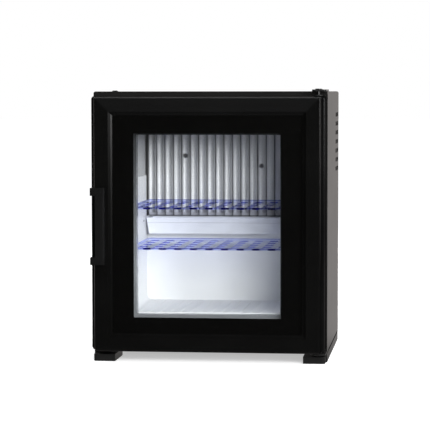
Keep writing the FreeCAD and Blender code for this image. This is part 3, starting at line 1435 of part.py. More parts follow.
def make_lamp():
    top = "(liner_ceiling - seat)"
    x, y = ("-lamp_half", "lamp_half"), ("lamp_front", "lamp_front + lamp_depth")
    shell = box("lamp_shell", x, y, (f"{top} - lamp_height", top))
    hollow = box("lamp_hollow", ("lamp_wall - lamp_half", "lamp_half - lamp_wall"),
                 ("lamp_front + lamp_wall", "lamp_front + lamp_depth - lamp_wall"),
                 (f"{top} - lamp_height - overrun", f"{top} - lamp_wall"))
    keep(cut("lamp_housing", shell, hollow))
    inset = "(lamp_wall + lens_play)"
    keep(box("lamp_lens", (f"{inset} - lamp_half", f"lamp_half - {inset}"),
             (f"lamp_front + {inset}", f"lamp_front + lamp_depth - {inset}"),
             (f"{top} - lamp_height", f"{top} - lamp_height + lens_thick")))


# Every piece of the object, one call or loop for each group

make_outer_case()
make_bottom_panel()
make_back_panel()
make_insulation()
make_insulation_plug()
make_inner_liner()
for side_name, side_sign in SIDES.items():
    make_foot_rail(side_name, side_sign)
make_screws("foot_screws", FOOT_SCREWS, "foot_screw_radius", "foot_screw_head", "foot_screw_dome",
            "foot_screw_length", "Z", "cabinet_base - foot_flange", False)
make_rear_brace()
make_hinge_bracket("top", "cabinet_top")
make_hinge_bracket("bottom", "cabinet_base - bracket_sheet")
make_hinge_pins()
make_bracket_screws()
make_blanking_plug()
make_evaporator_plate()
make_evaporator_saddle()
make_evaporator_screws()
make_drip_tray()
make_drain_tube()
keep(make_open_box("drip_cup", ("spout_x - cup_half", "spout_x + cup_half"),
                   ("unit_face", "unit_face + cup_depth"), ("cup_low", "cup_top"), "cup_wall"))
make_shelf("upper_shelf", "upper_shelf_level")
make_shelf("lower_shelf", "lower_shelf_level")
make_upright_rail("left", -1)
make_upright_rail("right", 1)
make_level_rail("top", 1)
make_level_rail("bottom", -1)
make_corner_keys()
make_door_pan()
make_glazing()
make_inner_frame()
make_gasket()
make_magnet_strips()
make_handle()
make_handle_screws()
make_bush("top", "pan_top - bush_depth", "pan_top", "pan_top", "pan_top + bush_flange",
          "pan_top - bush_depth")
make_bush("bottom", "pan_low", "pan_low + bush_depth", "cabinet_base + seat", "pan_low",
          "cabinet_base")
make_boiler()
make_pipes()
make_vessel()
make_condenser_fins()
for strap_name, strap_level in STRAP_LEVELS.items():
    make_strap(strap_name, strap_level)
make_screws("strap_screws", STRAP_SCREWS, "strap_screw_radius", "strap_screw_head", "strap_screw_dome",
            "strap_screw_length", "Y", "unit_face + strap_sheet", True)
make_control_box()
make_lamp()

# Check and write

doc.recompute()
for item in doc.Objects:
    if "Invalid" in item.State or "Error" in item.State:
        raise RuntimeError(f"{item.Name} failed: {item.State}")
os.makedirs("parts", exist_ok=True)
for name, item in nodes.items():
    shape = item.Shape
    if shape.isNull() or not shape.isValid() or not shape.Solids:
        raise RuntimeError(f"{name} has no valid solid")
    shape.exportStep(f"parts/{name}.step")
print(len(nodes), "nodes")
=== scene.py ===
"""The looks of a small hotel fridge with a glass door: its finishes, the stage and the lights.

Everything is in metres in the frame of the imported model: +X to the right, -Y out of the door, +Z up.
"""

import json
import math

import bmesh
import bpy
from mathutils import Matrix, Vector


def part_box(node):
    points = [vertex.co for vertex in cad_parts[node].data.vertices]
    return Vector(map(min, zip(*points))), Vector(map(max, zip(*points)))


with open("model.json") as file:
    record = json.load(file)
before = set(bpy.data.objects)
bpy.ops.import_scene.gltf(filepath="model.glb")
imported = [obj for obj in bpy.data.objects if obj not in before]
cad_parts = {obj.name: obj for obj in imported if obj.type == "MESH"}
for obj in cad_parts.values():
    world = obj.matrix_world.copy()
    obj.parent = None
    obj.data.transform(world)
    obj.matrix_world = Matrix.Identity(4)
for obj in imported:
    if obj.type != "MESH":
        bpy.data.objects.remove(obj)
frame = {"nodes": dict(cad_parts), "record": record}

START_OBJECTS = ("Cube", "Light", "Camera")
for start_object in START_OBJECTS:
    if start_object in bpy.data.objects:
        bpy.data.objects.remove(bpy.data.objects[start_object])

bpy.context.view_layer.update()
MM = 0.001

# Node trees


def put(tree, kind, inputs=None, **settings):
    """A node of that kind, with its settings, and with each named input linked or set."""
    node = tree.nodes.new("ShaderNode" + kind)
    for name, value in settings.items():
        setattr(node, name, value)
    for name, value in (inputs or {}).items():
        feed(tree, node.inputs[name], value)
    return node


def feed(tree, socket, value):
    """Links the socket to an output or to a node's first output, or sets it to a plain value."""
    if isinstance(value, bpy.types.NodeSocket):
        tree.links.new(value, socket)
    elif isinstance(value, bpy.types.Node):
        tree.links.new(value.outputs[0], socket)
    else:
        socket.default_value = value


def math_node(tree, operation, *values, clamp=False):
    return put(tree, "Math", dict(enumerate(values)), operation=operation, use_clamp=clamp).outputs[0]


def vector_node(tree, operation, *values):
    return put(tree, "VectorMath", dict(enumerate(values)), operation=operation)


def product(tree, *values):
    """The numbers multiplied together."""
    result, *others = values
    for value in others:
        result = math_node(tree, "MULTIPLY", result, value)
    return result


def rest_of(tree, share):
    """What the share leaves of 1."""
    return math_node(tree, "SUBTRACT", 1.0, share)


def within(tree, value, low, high):
    """1 where the value lies between low and high, and 0 elsewhere."""
    return math_node(tree, "COMPARE", value, (low + high) / 2.0, (high - low) / 2.0)


def spread(tree, value, low, high, start=0.0, stop=1.0, smooth=False):
    """value, taken from the range start to stop, put on the range low to high."""
    kind = "SMOOTHSTEP" if smooth else "LINEAR"
    inputs = {"Value": value, "From Min": start, "From Max": stop, "To Min": low, "To Max": high}
    return put(tree, "MapRange", inputs, interpolation_type=kind).outputs[0]


def separated(tree, vector):
    """The X, Y and Z of a vector."""
    return put(tree, "SeparateXYZ", {"Vector": vector}).outputs


def object_place(tree):
    """The X, Y and Z of a point of the piece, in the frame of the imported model."""
    return separated(tree, put(tree, "TexCoord").outputs["Object"])


def surface_facing(tree):
    """The X, Y and Z of the way that the surface faces."""
    return separated(tree, put(tree, "NewGeometry").outputs["Normal"])


def colour(red, green, blue):
    return (red, green, blue, 1.0)


def neutral(tone):
    return (tone, tone, tone)


def as_grey(tree, value):
    """The grey whose three parts are the number."""
    return put(tree, "CombineColor", {0: value, 1: value, 2: value}).outputs[0]


def mixed(tree, share, first, second, blend="MIX"):
    """The colour first, with the colour second blended over it by share."""
    return put(tree, "Mix", {0: share, 6: first, 7: second}, data_type="RGBA", blend_type=blend).outputs[2]


def multiplied(tree, first, second):
    return mixed(tree, 1.0, first, second, blend="MULTIPLY")


def mixed_value(tree, share, first, second):
    """The number first, or second where share is 1."""
    return put(tree, "Mix", {0: share, 2: first, 3: second}, data_type="FLOAT").outputs[0]


def by_stops(tree, value, stops):
    """A grey that follows value, from 0 to 1, through the stops, each a place and its grey."""
    ramp = put(tree, "ValToRGB", {"Fac": value})
    marks = ramp.color_ramp.elements                # two at first, which become the ends
    ends_first = [stops[0], stops[-1], *stops[1:-1]]
    for index, (stop, tone) in enumerate(ends_first):
        mark = marks[index] if index < 2 else marks.new(stop)
        mark.position = stop
        mark.color = colour(*neutral(tone))
    return ramp.outputs["Color"]


def new_effect(name, inputs, outputs):
    """An empty node group with the named inputs and outputs, what its nodes read and what they feed."""
    group = bpy.data.node_groups.new(name, "ShaderNodeTree")
    for label, kind, default in inputs:
        socket = group.interface.new_socket(label, in_out="INPUT", socket_type="NodeSocket" + kind)
        if default is not None:
            socket.default_value = default
    for label, kind in outputs:
        group.interface.new_socket(label, in_out="OUTPUT", socket_type="NodeSocket" + kind)
    entry = group.nodes.new("NodeGroupInput")
    leave = group.nodes.new("NodeGroupOutput")
    return group, entry.outputs, leave.inputs


def use_effect(tree, group, inputs):
    node = tree.nodes.new("ShaderNodeGroup")
    node.node_tree = group
    for name, value in inputs.items():
        feed(tree, node.inputs[name], value)
    return node.outputs


# Effects that several finishes share

WIPING_TURN = (0.3, 0.5, 0.4)
WIPING_STRETCH = (1.0, 0.6, 2.2)
WIPING_NOISE = (0.38, 0.66)               # from no wiping to all of it
DUST_FACING = (0.55, 0.95)                # the normal's Z, from no dust to all of it
DUST_FULL = 0.7                           # the noise from which a layer of dust is whole


def make_grain_effect():
    """The orange peel of paint or the grain of a mould: bumps of about Size across."""
    group, given, out = new_effect(
        "grain", [("Place", "Vector", None), ("Size", "Float", MM)], [("Height", "Float")])
    scale = math_node(group, "DIVIDE", 1.0, given["Size"])
    bumps = put(group, "TexNoise",
                {"Vector": given["Place"], "Scale": scale, "Detail": 2.0, "Roughness": 0.55})
    feed(group, out["Height"], bumps.outputs["Fac"])
    return group


def make_wiping_effect():
    """Soft streaks and patches that cleaning leaves, from 0 to 1."""
    group, given, out = new_effect(
        "wiping", [("Place", "Vector", None), ("Size", "Float", 60 * MM)], [("Mask", "Float")])
    scale = math_node(group, "DIVIDE", 1.0, given["Size"])
    turned = put(group, "Mapping",
                 {"Vector": given["Place"], "Rotation": WIPING_TURN, "Scale": WIPING_STRETCH})
    patches = put(group, "TexNoise", {"Vector": turned, "Scale": scale, "Detail": 4.0, "Distortion": 0.6})
    feed(group, out["Mask"], spread(group, patches.outputs["Fac"], 0.0, 1.0, *WIPING_NOISE))
    return group


def make_dust_effect():
    """Fine dust that lies on faces that look up, from 0 to Most."""
    group, given, out = new_effect(
        "dust", [("Place", "Vector", None), ("Most", "Float", 0.3)], [("Mask", "Float")])

    def layer(scale, least, start):
        """Noise that leaves the share least up to start and all of the dust from DUST_FULL on."""
        noise = put(group, "TexNoise", {"Vector": given["Place"], "Scale": scale, "Detail": 3.0})
        return spread(group, noise.outputs["Fac"], least, 1.0, start, DUST_FULL)

    flecks = layer(scale=900.0, least=0.3, start=0.35)
    clouds = layer(scale=28.0, least=0.2, start=0.3)
    upward = spread(group, surface_facing(group)["Z"], 0.0, 1.0, *DUST_FACING)
    feed(group, out["Mask"], product(group, flecks, clouds, upward, given["Most"]))
    return group


def make_drawn_effect():
    """The fine parallel lines of drawn or brushed metal: noise that Stretch makes long on one axis."""
    group, given, out = new_effect(
        "drawn_lines", [("Place", "Vector", None), ("Stretch", "Vector", (1.0, 1.0, 1.0))],
        [("Lines", "Float")])
    stretched = vector_node(group, "MULTIPLY", given["Place"], given["Stretch"])
    lines = put(group, "TexNoise", {"Vector": stretched, "Scale": 1.0, "Detail": 4.0, "Roughness": 0.6})
    feed(group, out["Lines"], lines.outputs["Fac"])
    return group


GRAIN = make_grain_effect()
WIPING = make_wiping_effect()
DUST = make_dust_effect()
DRAWN = make_drawn_effect()

# Kinds of finish

DUST_TONE = (0.35, 0.34, 0.32)
DUST_ROUGHNESS = 0.9
CRYSTAL_SHARE = 0.55
ROUGHNESS_NOISE = (0.3, 0.7)              # the range of noise over which metal's roughness changes


def new_finish(name, **plain):
    """A material with a Principled shader whose plain values are set, and its Object coordinates."""
    material = bpy.data.materials.new(name)
    material.use_nodes = True
    tree = material.node_tree
    shader = tree.nodes["Principled BSDF"]
    for label, value in plain.items():
        shader.inputs[label.replace("_", " ")].default_value = value
    place = put(tree, "TexCoord").outputs["Object"]
    return material, tree, shader, place


def bump(tree, shader, height, depth):
    """Raises the surface by height times depth."""
    feed(tree, shader.inputs["Normal"], put(tree, "Bump", {"Distance": depth, "Height": height}))


def moulded(name, dark, light, rough, grain=MM, depth=0.0, dust=0.0, wiped=60 * MM, **plain):
    """Paint or plastic: two close tones, wiping that changes its gloss, and a fine grain."""
    material, tree, shader, place = new_finish(name, **plain)
    wiping = use_effect(tree, WIPING, {"Place": place, "Size": wiped})["Mask"]
    tone = mixed(tree, wiping, colour(*dark), colour(*light))
    roughness = spread(tree, wiping, rough[0], rough[1])
    if dust:
        mask = use_effect(tree, DUST, {"Place": place, "Most": dust})["Mask"]
        tone = mixed(tree, mask, tone, colour(*DUST_TONE))
        roughness = mixed_value(tree, mask, roughness, DUST_ROUGHNESS)
    feed(tree, shader.inputs["Base Color"], tone)
    feed(tree, shader.inputs["Roughness"], roughness)
    if depth:
        bump(tree, shader, use_effect(tree, GRAIN, {"Place": place, "Size": grain})["Height"], depth)
    return material


def drawn_metal(name, dark, light, rough, stretch, depth=0.0, spangle=0.0, metallic=1.0):
    """Bare sheet or turned metal, with lines along one axis and, on zinc, crystals about spangle across."""
    material, tree, shader, place = new_finish(name, Metallic=metallic)
    lines = use_effect(tree, DRAWN, {"Place": place, "Stretch": stretch})["Lines"]
    tone_share = lines
    if spangle:
        crystals = put(tree, "TexVoronoi", {"Vector": place, "Scale": 1.0 / spangle, "Randomness": 1.0})
        crystal = put(tree, "SeparateColor", {"Color": crystals.outputs["Color"]}).outputs[0]
        tone_share = mixed_value(tree, CRYSTAL_SHARE, lines, crystal)
    feed(tree, shader.inputs["Base Color"], mixed(tree, tone_share, colour(*dark), colour(*light)))
    feed(tree, shader.inputs["Roughness"], spread(tree, tone_share, rough[0], rough[1], *ROUGHNESS_NOISE))
    if depth:
        bump(tree, shader, lines, depth)
    return material


def see_through(name, shade, ior, **plain):
    """Glass or clear plastic, which bends only what is seen through it.

    Rays from lamps, soft light and mirrored rays pass it straight, tinted with shade.
    """
    material, tree, shader, place = new_finish(
        name, Transmission_Weight=1.0, Metallic=0.0, IOR=ior, **plain)
    path = put(tree, "LightPath").outputs
    mirrored = math_node(tree, "SUBTRACT", path["Is Glossy Ray"], path["Is Transmission Ray"], clamp=True)
    straight = math_node(tree, "ADD", path["Is Shadow Ray"], path["Is Diffuse Ray"])
    straight = math_node(tree, "ADD", straight, mirrored, clamp=True)
    clear = put(tree, "BsdfTransparent", {"Color": colour(*shade)})
    both = put(tree, "MixShader", {0: straight, 1: shader.outputs[0], 2: clear.outputs[0]})
    feed(tree, tree.nodes["Material Output"].inputs["Surface"], both)
    return material, tree, shader, place


def satin_black(name, dark, light, coat_roughness, shine):
    """Matt black whose only gloss is a thin satin coat, as strong as shine makes it in its tree."""
    material = moulded(name, dark, light, rough=(0.8, 0.9), grain=0.6 * MM, depth=0.01 * MM, wiped=150 * MM,
                       Specular_IOR_Level=0.0, Coat_Roughness=coat_roughness)
    tree = material.node_tree
    feed(tree, tree.nodes["Principled BSDF"].inputs["Coat Weight"], shine(tree))
    return material


def with_painted_shade(material, tone):
    """The finish with its base colour multiplied by the grey of painted light and shade that tone makes in
    its tree.
    """
    tree = material.node_tree
    base = tree.nodes["Principled BSDF"].inputs["Base Color"]
    feed(tree, base, multiplied(tree, base.links[0].from_socket, tone(tree)))
    return material


# Where the satin of the door, the handle and the feet shines, with painted sheen and shade

# painted fade of the rails' sheen low down on their right sides
SATIN_PAINTED_FADE_SHARE = 0.95
SATIN_DULL_HEIGHT = 140 * MM              # up the rail, where it starts to shine more
SATIN_FULL_HEIGHT = 360 * MM
RIGHT_SIDE_FACING = (0.4, 0.7)            # the normal's X
LEFT_SIDE_FACING = (-0.5, -0.1)           # the normal's X
CHAMFER_FACING = (0.85, 0.97)             # the normal's Y, from the chamfer to the front face
CHAMFER_LINE = 2.6 * MM
CHAMFER_BAND = 8.0 * MM
CHAMFER_DULL_SHARE = 0.75
PAN_ROUND_FACING = (0.80, 0.97)           # the normal's Y, from the rounded edge to the front face
PAN_SATIN_EDGE = 5.0 * MM
PAN_SATIN_FADE = 3.0 * MM
# painted sheen strength up the door's rounded edge
PAN_PAINTED_SHEEN_TONES = [(0.0, 0.95), (0.30, 0.95), (0.45, 0.40), (0.60, 0.50), (0.75, 0.90), (1.0, 1.0)]
# the height of the painted shade band at the top of each foot rail's skirt
FOOT_GAP_PAINTED_SHADE = 4.5 * MM
HANDLE_FACING = (-0.85, -0.15)            # the normal's X


def side_painted_sheen(tree, place, facing):
    """Painted sheen and shade: 1 where the rails shine; on their right sides the sheen fades low down, as
    the light from above does, and on the left beside the handle it is gone, a painted shadow of the handle.
    """
    rail_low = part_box("right_rail")[0][2]
    low_down = spread(tree, place["Z"], SATIN_PAINTED_FADE_SHARE, 0.0, rail_low + SATIN_DULL_HEIGHT,
                      rail_low + SATIN_FULL_HEIGHT)
    right = product(tree, spread(tree, facing["X"], 0.0, 1.0, *RIGHT_SIDE_FACING), low_down)
    low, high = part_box("handle")
    left = spread(tree, facing["X"], 1.0, 0.0, *LEFT_SIDE_FACING)
    left = product(tree, left, math_node(tree, "LESS_THAN", place["X"], 0.0))
    left = product(tree, left, within(tree, place["Z"], low[2], high[2]))
    return rest_of(tree, math_node(tree, "MAXIMUM", right, left))


def frame_shine(tree):
    """The chamfer round the window shines in a narrow line at its inner edge and is duller beyond it."""
    place = object_place(tree)
    facing = surface_facing(tree)
    low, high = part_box("left_rail")
    middle = (low[2] + high[2]) / 2.0
    window_side = -high[0]
    window_top = (high[2] - low[2]) / 2.0 - (high[0] - low[0])
    across = math_node(tree, "SUBTRACT", math_node(tree, "ABSOLUTE", place["X"]), window_side)
    from_middle = math_node(tree, "ABSOLUTE", math_node(tree, "SUBTRACT", place["Z"], middle))
    upwards = math_node(tree, "SUBTRACT", from_middle, window_top)
    outwards = math_node(tree, "MAXIMUM", across, upwards)
    band = within(tree, outwards, CHAMFER_LINE, CHAMFER_LINE + CHAMFER_BAND)
    tilted = spread(tree, math_node(tree, "ABSOLUTE", facing["Y"]), 1.0, 0.0, *CHAMFER_FACING)
    dull = product(tree, band, tilted, CHAMFER_DULL_SHARE)
    return product(tree, side_painted_sheen(tree, place, facing), rest_of(tree, dull))


def pan_painted_sheen(tree):
    """Painted sheen: only the rounded front edge keeps its coat, and its strength goes by height, least of
    all at mid height, to shape that edge's highlight.
    """
    place = object_place(tree)
    low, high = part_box("door_pan")
    edge = low[1] + PAN_SATIN_EDGE
    frontal = math_node(tree, "ABSOLUTE", surface_facing(tree)["Y"])
    rounded = spread(tree, frontal, 1.0, 0.0, *PAN_ROUND_FACING)
    near = spread(tree, place["Y"], 1.0, 0.0, edge, edge + PAN_SATIN_FADE)
    height = spread(tree, place["Z"], 0.0, 1.0, low[2], high[2])
    return product(tree, rounded, near, by_stops(tree, height, PAN_PAINTED_SHEEN_TONES))


def foot_painted_shade(tree):
    """Painted shade: a dark band at the top of the skirt of each foot rail, where the gap under the case is
    in shade.
    """
    skirt_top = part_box("foot_rail_right")[1][2]
    return rest_of(tree, math_node(tree, "GREATER_THAN", object_place(tree)["Z"], skirt_top - FOOT_GAP_PAINTED_SHADE))


def handle_shine(tree):
    """The handle's left side has no coat and is dull."""
    return spread(tree, surface_facing(tree)["X"], 0.0, 1.0, *HANDLE_FACING)


# Painted light and shade of the inside

FIN_TIP = 1.8 * MM
FIN_TROUGHS = 18
# painted shade beside the fins and a painted bright band along each trough's bed
TROUGH_PAINTED_SHADES = [(0.0, 0.55), (0.05, 0.35), (0.08, 0.10), (0.13, 0.30), (0.18, 0.90), (0.34, 1.0),
                (0.60, 0.90), (0.80, 0.75), (0.94, 0.60), (1.0, 0.55)]
PLATE_EDGE = 3.5 * MM
# painted shade at the plate's sides and at its foot, under the shelf
PLATE_EDGE_PAINTED_SHADE = 0.15
PLATE_FOOT = 20 * MM
PLATE_FOOT_PAINTED_SHADES = [(0.0, 0.15), (0.10, 0.30), (0.16, 0.60), (0.60, 0.70), (1.0, 1.0)]
PAD_HEIGHT = 257.1 * MM                   # over the liner's underside
PAD_REAR_GAP = 28 * MM                    # before the liner's back
PAD_REAR_FADE = 8 * MM
WALL_FACING = (0.6, 0.8)                  # the normal's X, either way
# painted shade on the wall above the pads and behind them
WALL_PAINTED_SHADE_SHARE = 0.45
WALL_REAR_PAINTED_SHADE_SHARE = 0.93
WALL_HOLE_HEIGHT = 176.5 * MM             # over the liner's underside
WALL_HOLE_GAP = 59 * MM                   # before the liner's back
WALL_HOLE_RADIUS = 1.5 * MM
WALL_HOLE_OVAL = (1.0, 0.25, 1.0)         # four times as long as it is high
WALL_HOLE_DULL_SHARE = 0.95
# a painted shade line under the lip's step
TRAY_LINE_DROP = 8.8 * MM
TRAY_LINE = 1.2 * MM
TRAY_LINE_SHADE_SHARE = 0.25
# painted light and shade up the reveal
REVEAL_PAINTED_SHADES = [(0.0, 0.75), (0.30, 1.0), (0.55, 0.62), (0.80, 0.26), (1.0, 0.12)]


def evaporator_painted_shade(tree):
    """Painted light and shade: each trough is darkened beside its fins and left bright along its bed, as the
    lamp lights it, and painted shade darkens the plate's foot under the shelf and its sides.
    """
    place = object_place(tree)
    low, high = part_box("evaporator_plate")
    pitch = (high[0] - low[0] - FIN_TIP) / FIN_TROUGHS
    along = math_node(tree, "SUBTRACT", place["X"], low[0] + FIN_TIP / 2.0)
    share = math_node(tree, "DIVIDE", math_node(tree, "WRAP", along, pitch, 0.0), pitch)
    height = spread(tree, place["Z"], 0.0, 1.0, low[2], low[2] + PLATE_FOOT)
    foot = by_stops(tree, height, PLATE_FOOT_PAINTED_SHADES)
    aside = math_node(tree, "ABSOLUTE", place["X"])
    side = spread(tree, aside, 1.0, PLATE_EDGE_PAINTED_SHADE, high[0] - PLATE_EDGE, high[0] - PLATE_EDGE / 2.0)
    shade = multiplied(tree, foot, as_grey(tree, side))
    return multiplied(tree, by_stops(tree, share, TROUGH_PAINTED_SHADES), shade)


def liner_painted_shade(tree):
    """Painted shade: the wall is darker above its pads and behind them beside the plate, where shade falls,
    and dark in a small oval hole.
    """
    place = object_place(tree)
    low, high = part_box("inner_liner")
    wall = spread(tree, math_node(tree, "ABSOLUTE", surface_facing(tree)["X"]), 0.0, 1.0, *WALL_FACING)
    above = math_node(tree, "GREATER_THAN", place["Z"], low[2] + PAD_HEIGHT)
    above = product(tree, above, wall, WALL_PAINTED_SHADE_SHARE)
    pad_rear = high[1] - PAD_REAR_GAP
    behind = spread(tree, place["Y"], 0.0, 1.0, pad_rear, pad_rear + PAD_REAR_FADE)
    beside_plate = math_node(tree, "GREATER_THAN", place["Z"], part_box("evaporator_plate")[0][2])
    behind = product(tree, behind, beside_plate, WALL_REAR_PAINTED_SHADE_SHARE)
    hole_place = (0.0, high[1] - WALL_HOLE_GAP, low[2] + WALL_HOLE_HEIGHT)
    from_hole = put(tree, "CombineXYZ", {0: 0.0, 1: place["Y"], 2: place["Z"]})
    from_hole = vector_node(tree, "SUBTRACT", from_hole, hole_place)
    from_hole = vector_node(tree, "MULTIPLY", from_hole, WALL_HOLE_OVAL)
    away = vector_node(tree, "LENGTH", from_hole).outputs["Value"]
    on_left = math_node(tree, "LESS_THAN", place["X"], 0.0)
    in_hole = math_node(tree, "LESS_THAN", away, WALL_HOLE_RADIUS)
    hole = product(tree, wall, on_left, in_hole, WALL_HOLE_DULL_SHARE)
    # painted shade above and behind the pads, together with the dark of the hole
    dull = math_node(tree, "MAXIMUM", math_node(tree, "MAXIMUM", above, behind), hole)
    return as_grey(tree, rest_of(tree, dull))


def tray_painted_shade(tree):
    """A faint line of painted shade runs below the lip, where its step shades the face."""
    line_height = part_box("drip_tray")[1][2] - TRAY_LINE_DROP
    line = math_node(tree, "COMPARE", object_place(tree)["Z"], line_height, TRAY_LINE / 2.0)
    return as_grey(tree, rest_of(tree, product(tree, line, TRAY_LINE_SHADE_SHARE)))


def reveal_painted_shade(tree):
    """Painted light and shade: the reveal is brightest a third of the way up, a little dimmer below and dark
    at its top, where the least light reaches it.
    """
    low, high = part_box("glazing_spacer")
    share = spread(tree, object_place(tree)["Z"], 0.0, 1.0, low[2], high[2])
    return by_stops(tree, share, REVEAL_PAINTED_SHADES)


# Glass and clear plastic

PANE_TINT = (0.988, 0.995, 0.993)
PANE_WIPED_SHARE = 0.985
PANE_WIPING = 90 * MM
PANE_SHADE = (0.975, 0.98, 0.98)
SHELF_SLOT_MARGIN = 8.2 * MM
SHELF_SLOT_WIDTH = 14.2 * MM
SHELF_SLOT_COLUMNS = 10
SHELF_RIM_WALL = 2.2 * MM
SHELF_PLATE = 3.5 * MM
SHELF_RIM = 7.5 * MM
SHELF_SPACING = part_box("upper_shelf")[0][2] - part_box("lower_shelf")[0][2]
SHELF_LIP_LINE = 1.3 * MM
SHELF_CREST_SHARE = 0.6
SHELF_DASH_SHIFT = 3.0 * MM
SHELF_FLAT_FACING = (0.2, 0.7)            # the normal's Z, from the upright faces to the flat ones
SHELF_FLAT_ROUGHNESS = 0.10
SHELF_EDGE_ROUGHNESS = 0.0
SHELF_SHADE = (0.90, 0.91, 0.99)
SHELF_GRAZING_TINT = (0.985, 0.990, 1.0)
SHELF_FLAT_TINT = (0.92, 0.937, 1.0)
SHELF_EDGE_TINT = (0.68, 0.73, 0.975)
# painted dark refraction in lines at the slots' lips and in dashes on the front rim
SHELF_LIP_PAINTED_SHADE = (0.015, 0.02, 0.55)
SHELF_DASH_PAINTED_SHADE = (0.0008, 0.0008, 0.10)


def make_pane_finish():
    """Clear glass, a little deeper in the patches that wiping left."""
    material, tree, shader, place = see_through("pane_glass", PANE_SHADE, ior=1.5, Roughness=0.0)
    wiping = use_effect(tree, WIPING, {"Place": place, "Size": PANE_WIPING})["Mask"]
    wiped_tint = [PANE_WIPED_SHARE * part for part in PANE_TINT]
    feed(tree, shader.inputs["Base Color"], mixed(tree, wiping, colour(*PANE_TINT), colour(*wiped_tint)))
    return material


def make_shelf_finish():
    """Clear blue plastic: pale, but deep where the view runs along the bars, with painted dark refraction at
    the lips of its slots and in dashes on its front rim.
    """
    material, tree, shader, place = see_through(
        "shelf_blue", SHELF_SHADE, ior=1.49, Coat_Weight=1.0, Coat_IOR=1.01,
        Coat_Tint=colour(*SHELF_GRAZING_TINT))
    place = separated(tree, place)
    level = math_node(tree, "ABSOLUTE", surface_facing(tree)["Z"])
    upright = spread(tree, level, 1.0, 0.0, *SHELF_FLAT_FACING)
    low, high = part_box("lower_shelf")
    pitch = (high[0] - low[0] - 2.0 * SHELF_SLOT_MARGIN - SHELF_SLOT_WIDTH) / (SHELF_SLOT_COLUMNS - 1)
    first_slot = low[0] + SHELF_SLOT_MARGIN - SHELF_DASH_SHIFT
    along = math_node(tree, "WRAP", math_node(tree, "SUBTRACT", place["X"], first_slot), pitch, 0.0)
    between_slots = math_node(tree, "GREATER_THAN", along, SHELF_SLOT_WIDTH)
    at_front = math_node(tree, "LESS_THAN", place["Y"], low[1] + SHELF_RIM_WALL)
    # painted dark refraction in dashes on the front rim between the slots
    dash = product(tree, between_slots, at_front, upright)
    height = math_node(tree, "WRAP", math_node(tree, "SUBTRACT", place["Z"], low[2]), SHELF_SPACING, 0.0)
    lip = within(tree, height, SHELF_PLATE - SHELF_LIP_LINE, SHELF_PLATE)
    crest = math_node(tree, "GREATER_THAN", height, SHELF_RIM - SHELF_LIP_LINE)
    lip = math_node(tree, "MAXIMUM", lip, product(tree, crest, SHELF_CREST_SHARE))
    lip = product(tree, lip, upright)
    tint = mixed(tree, upright, colour(*SHELF_FLAT_TINT), colour(*SHELF_EDGE_TINT))
    tint = mixed(tree, lip, tint, colour(*SHELF_LIP_PAINTED_SHADE))
    feed(tree, shader.inputs["Base Color"], mixed(tree, dash, tint, colour(*SHELF_DASH_PAINTED_SHADE)))
    feed(tree, shader.inputs["Roughness"], spread(tree, upright, SHELF_FLAT_ROUGHNESS, SHELF_EDGE_ROUGHNESS))
    return material


# The finish of each slot, and of the nodes that differ from their slot

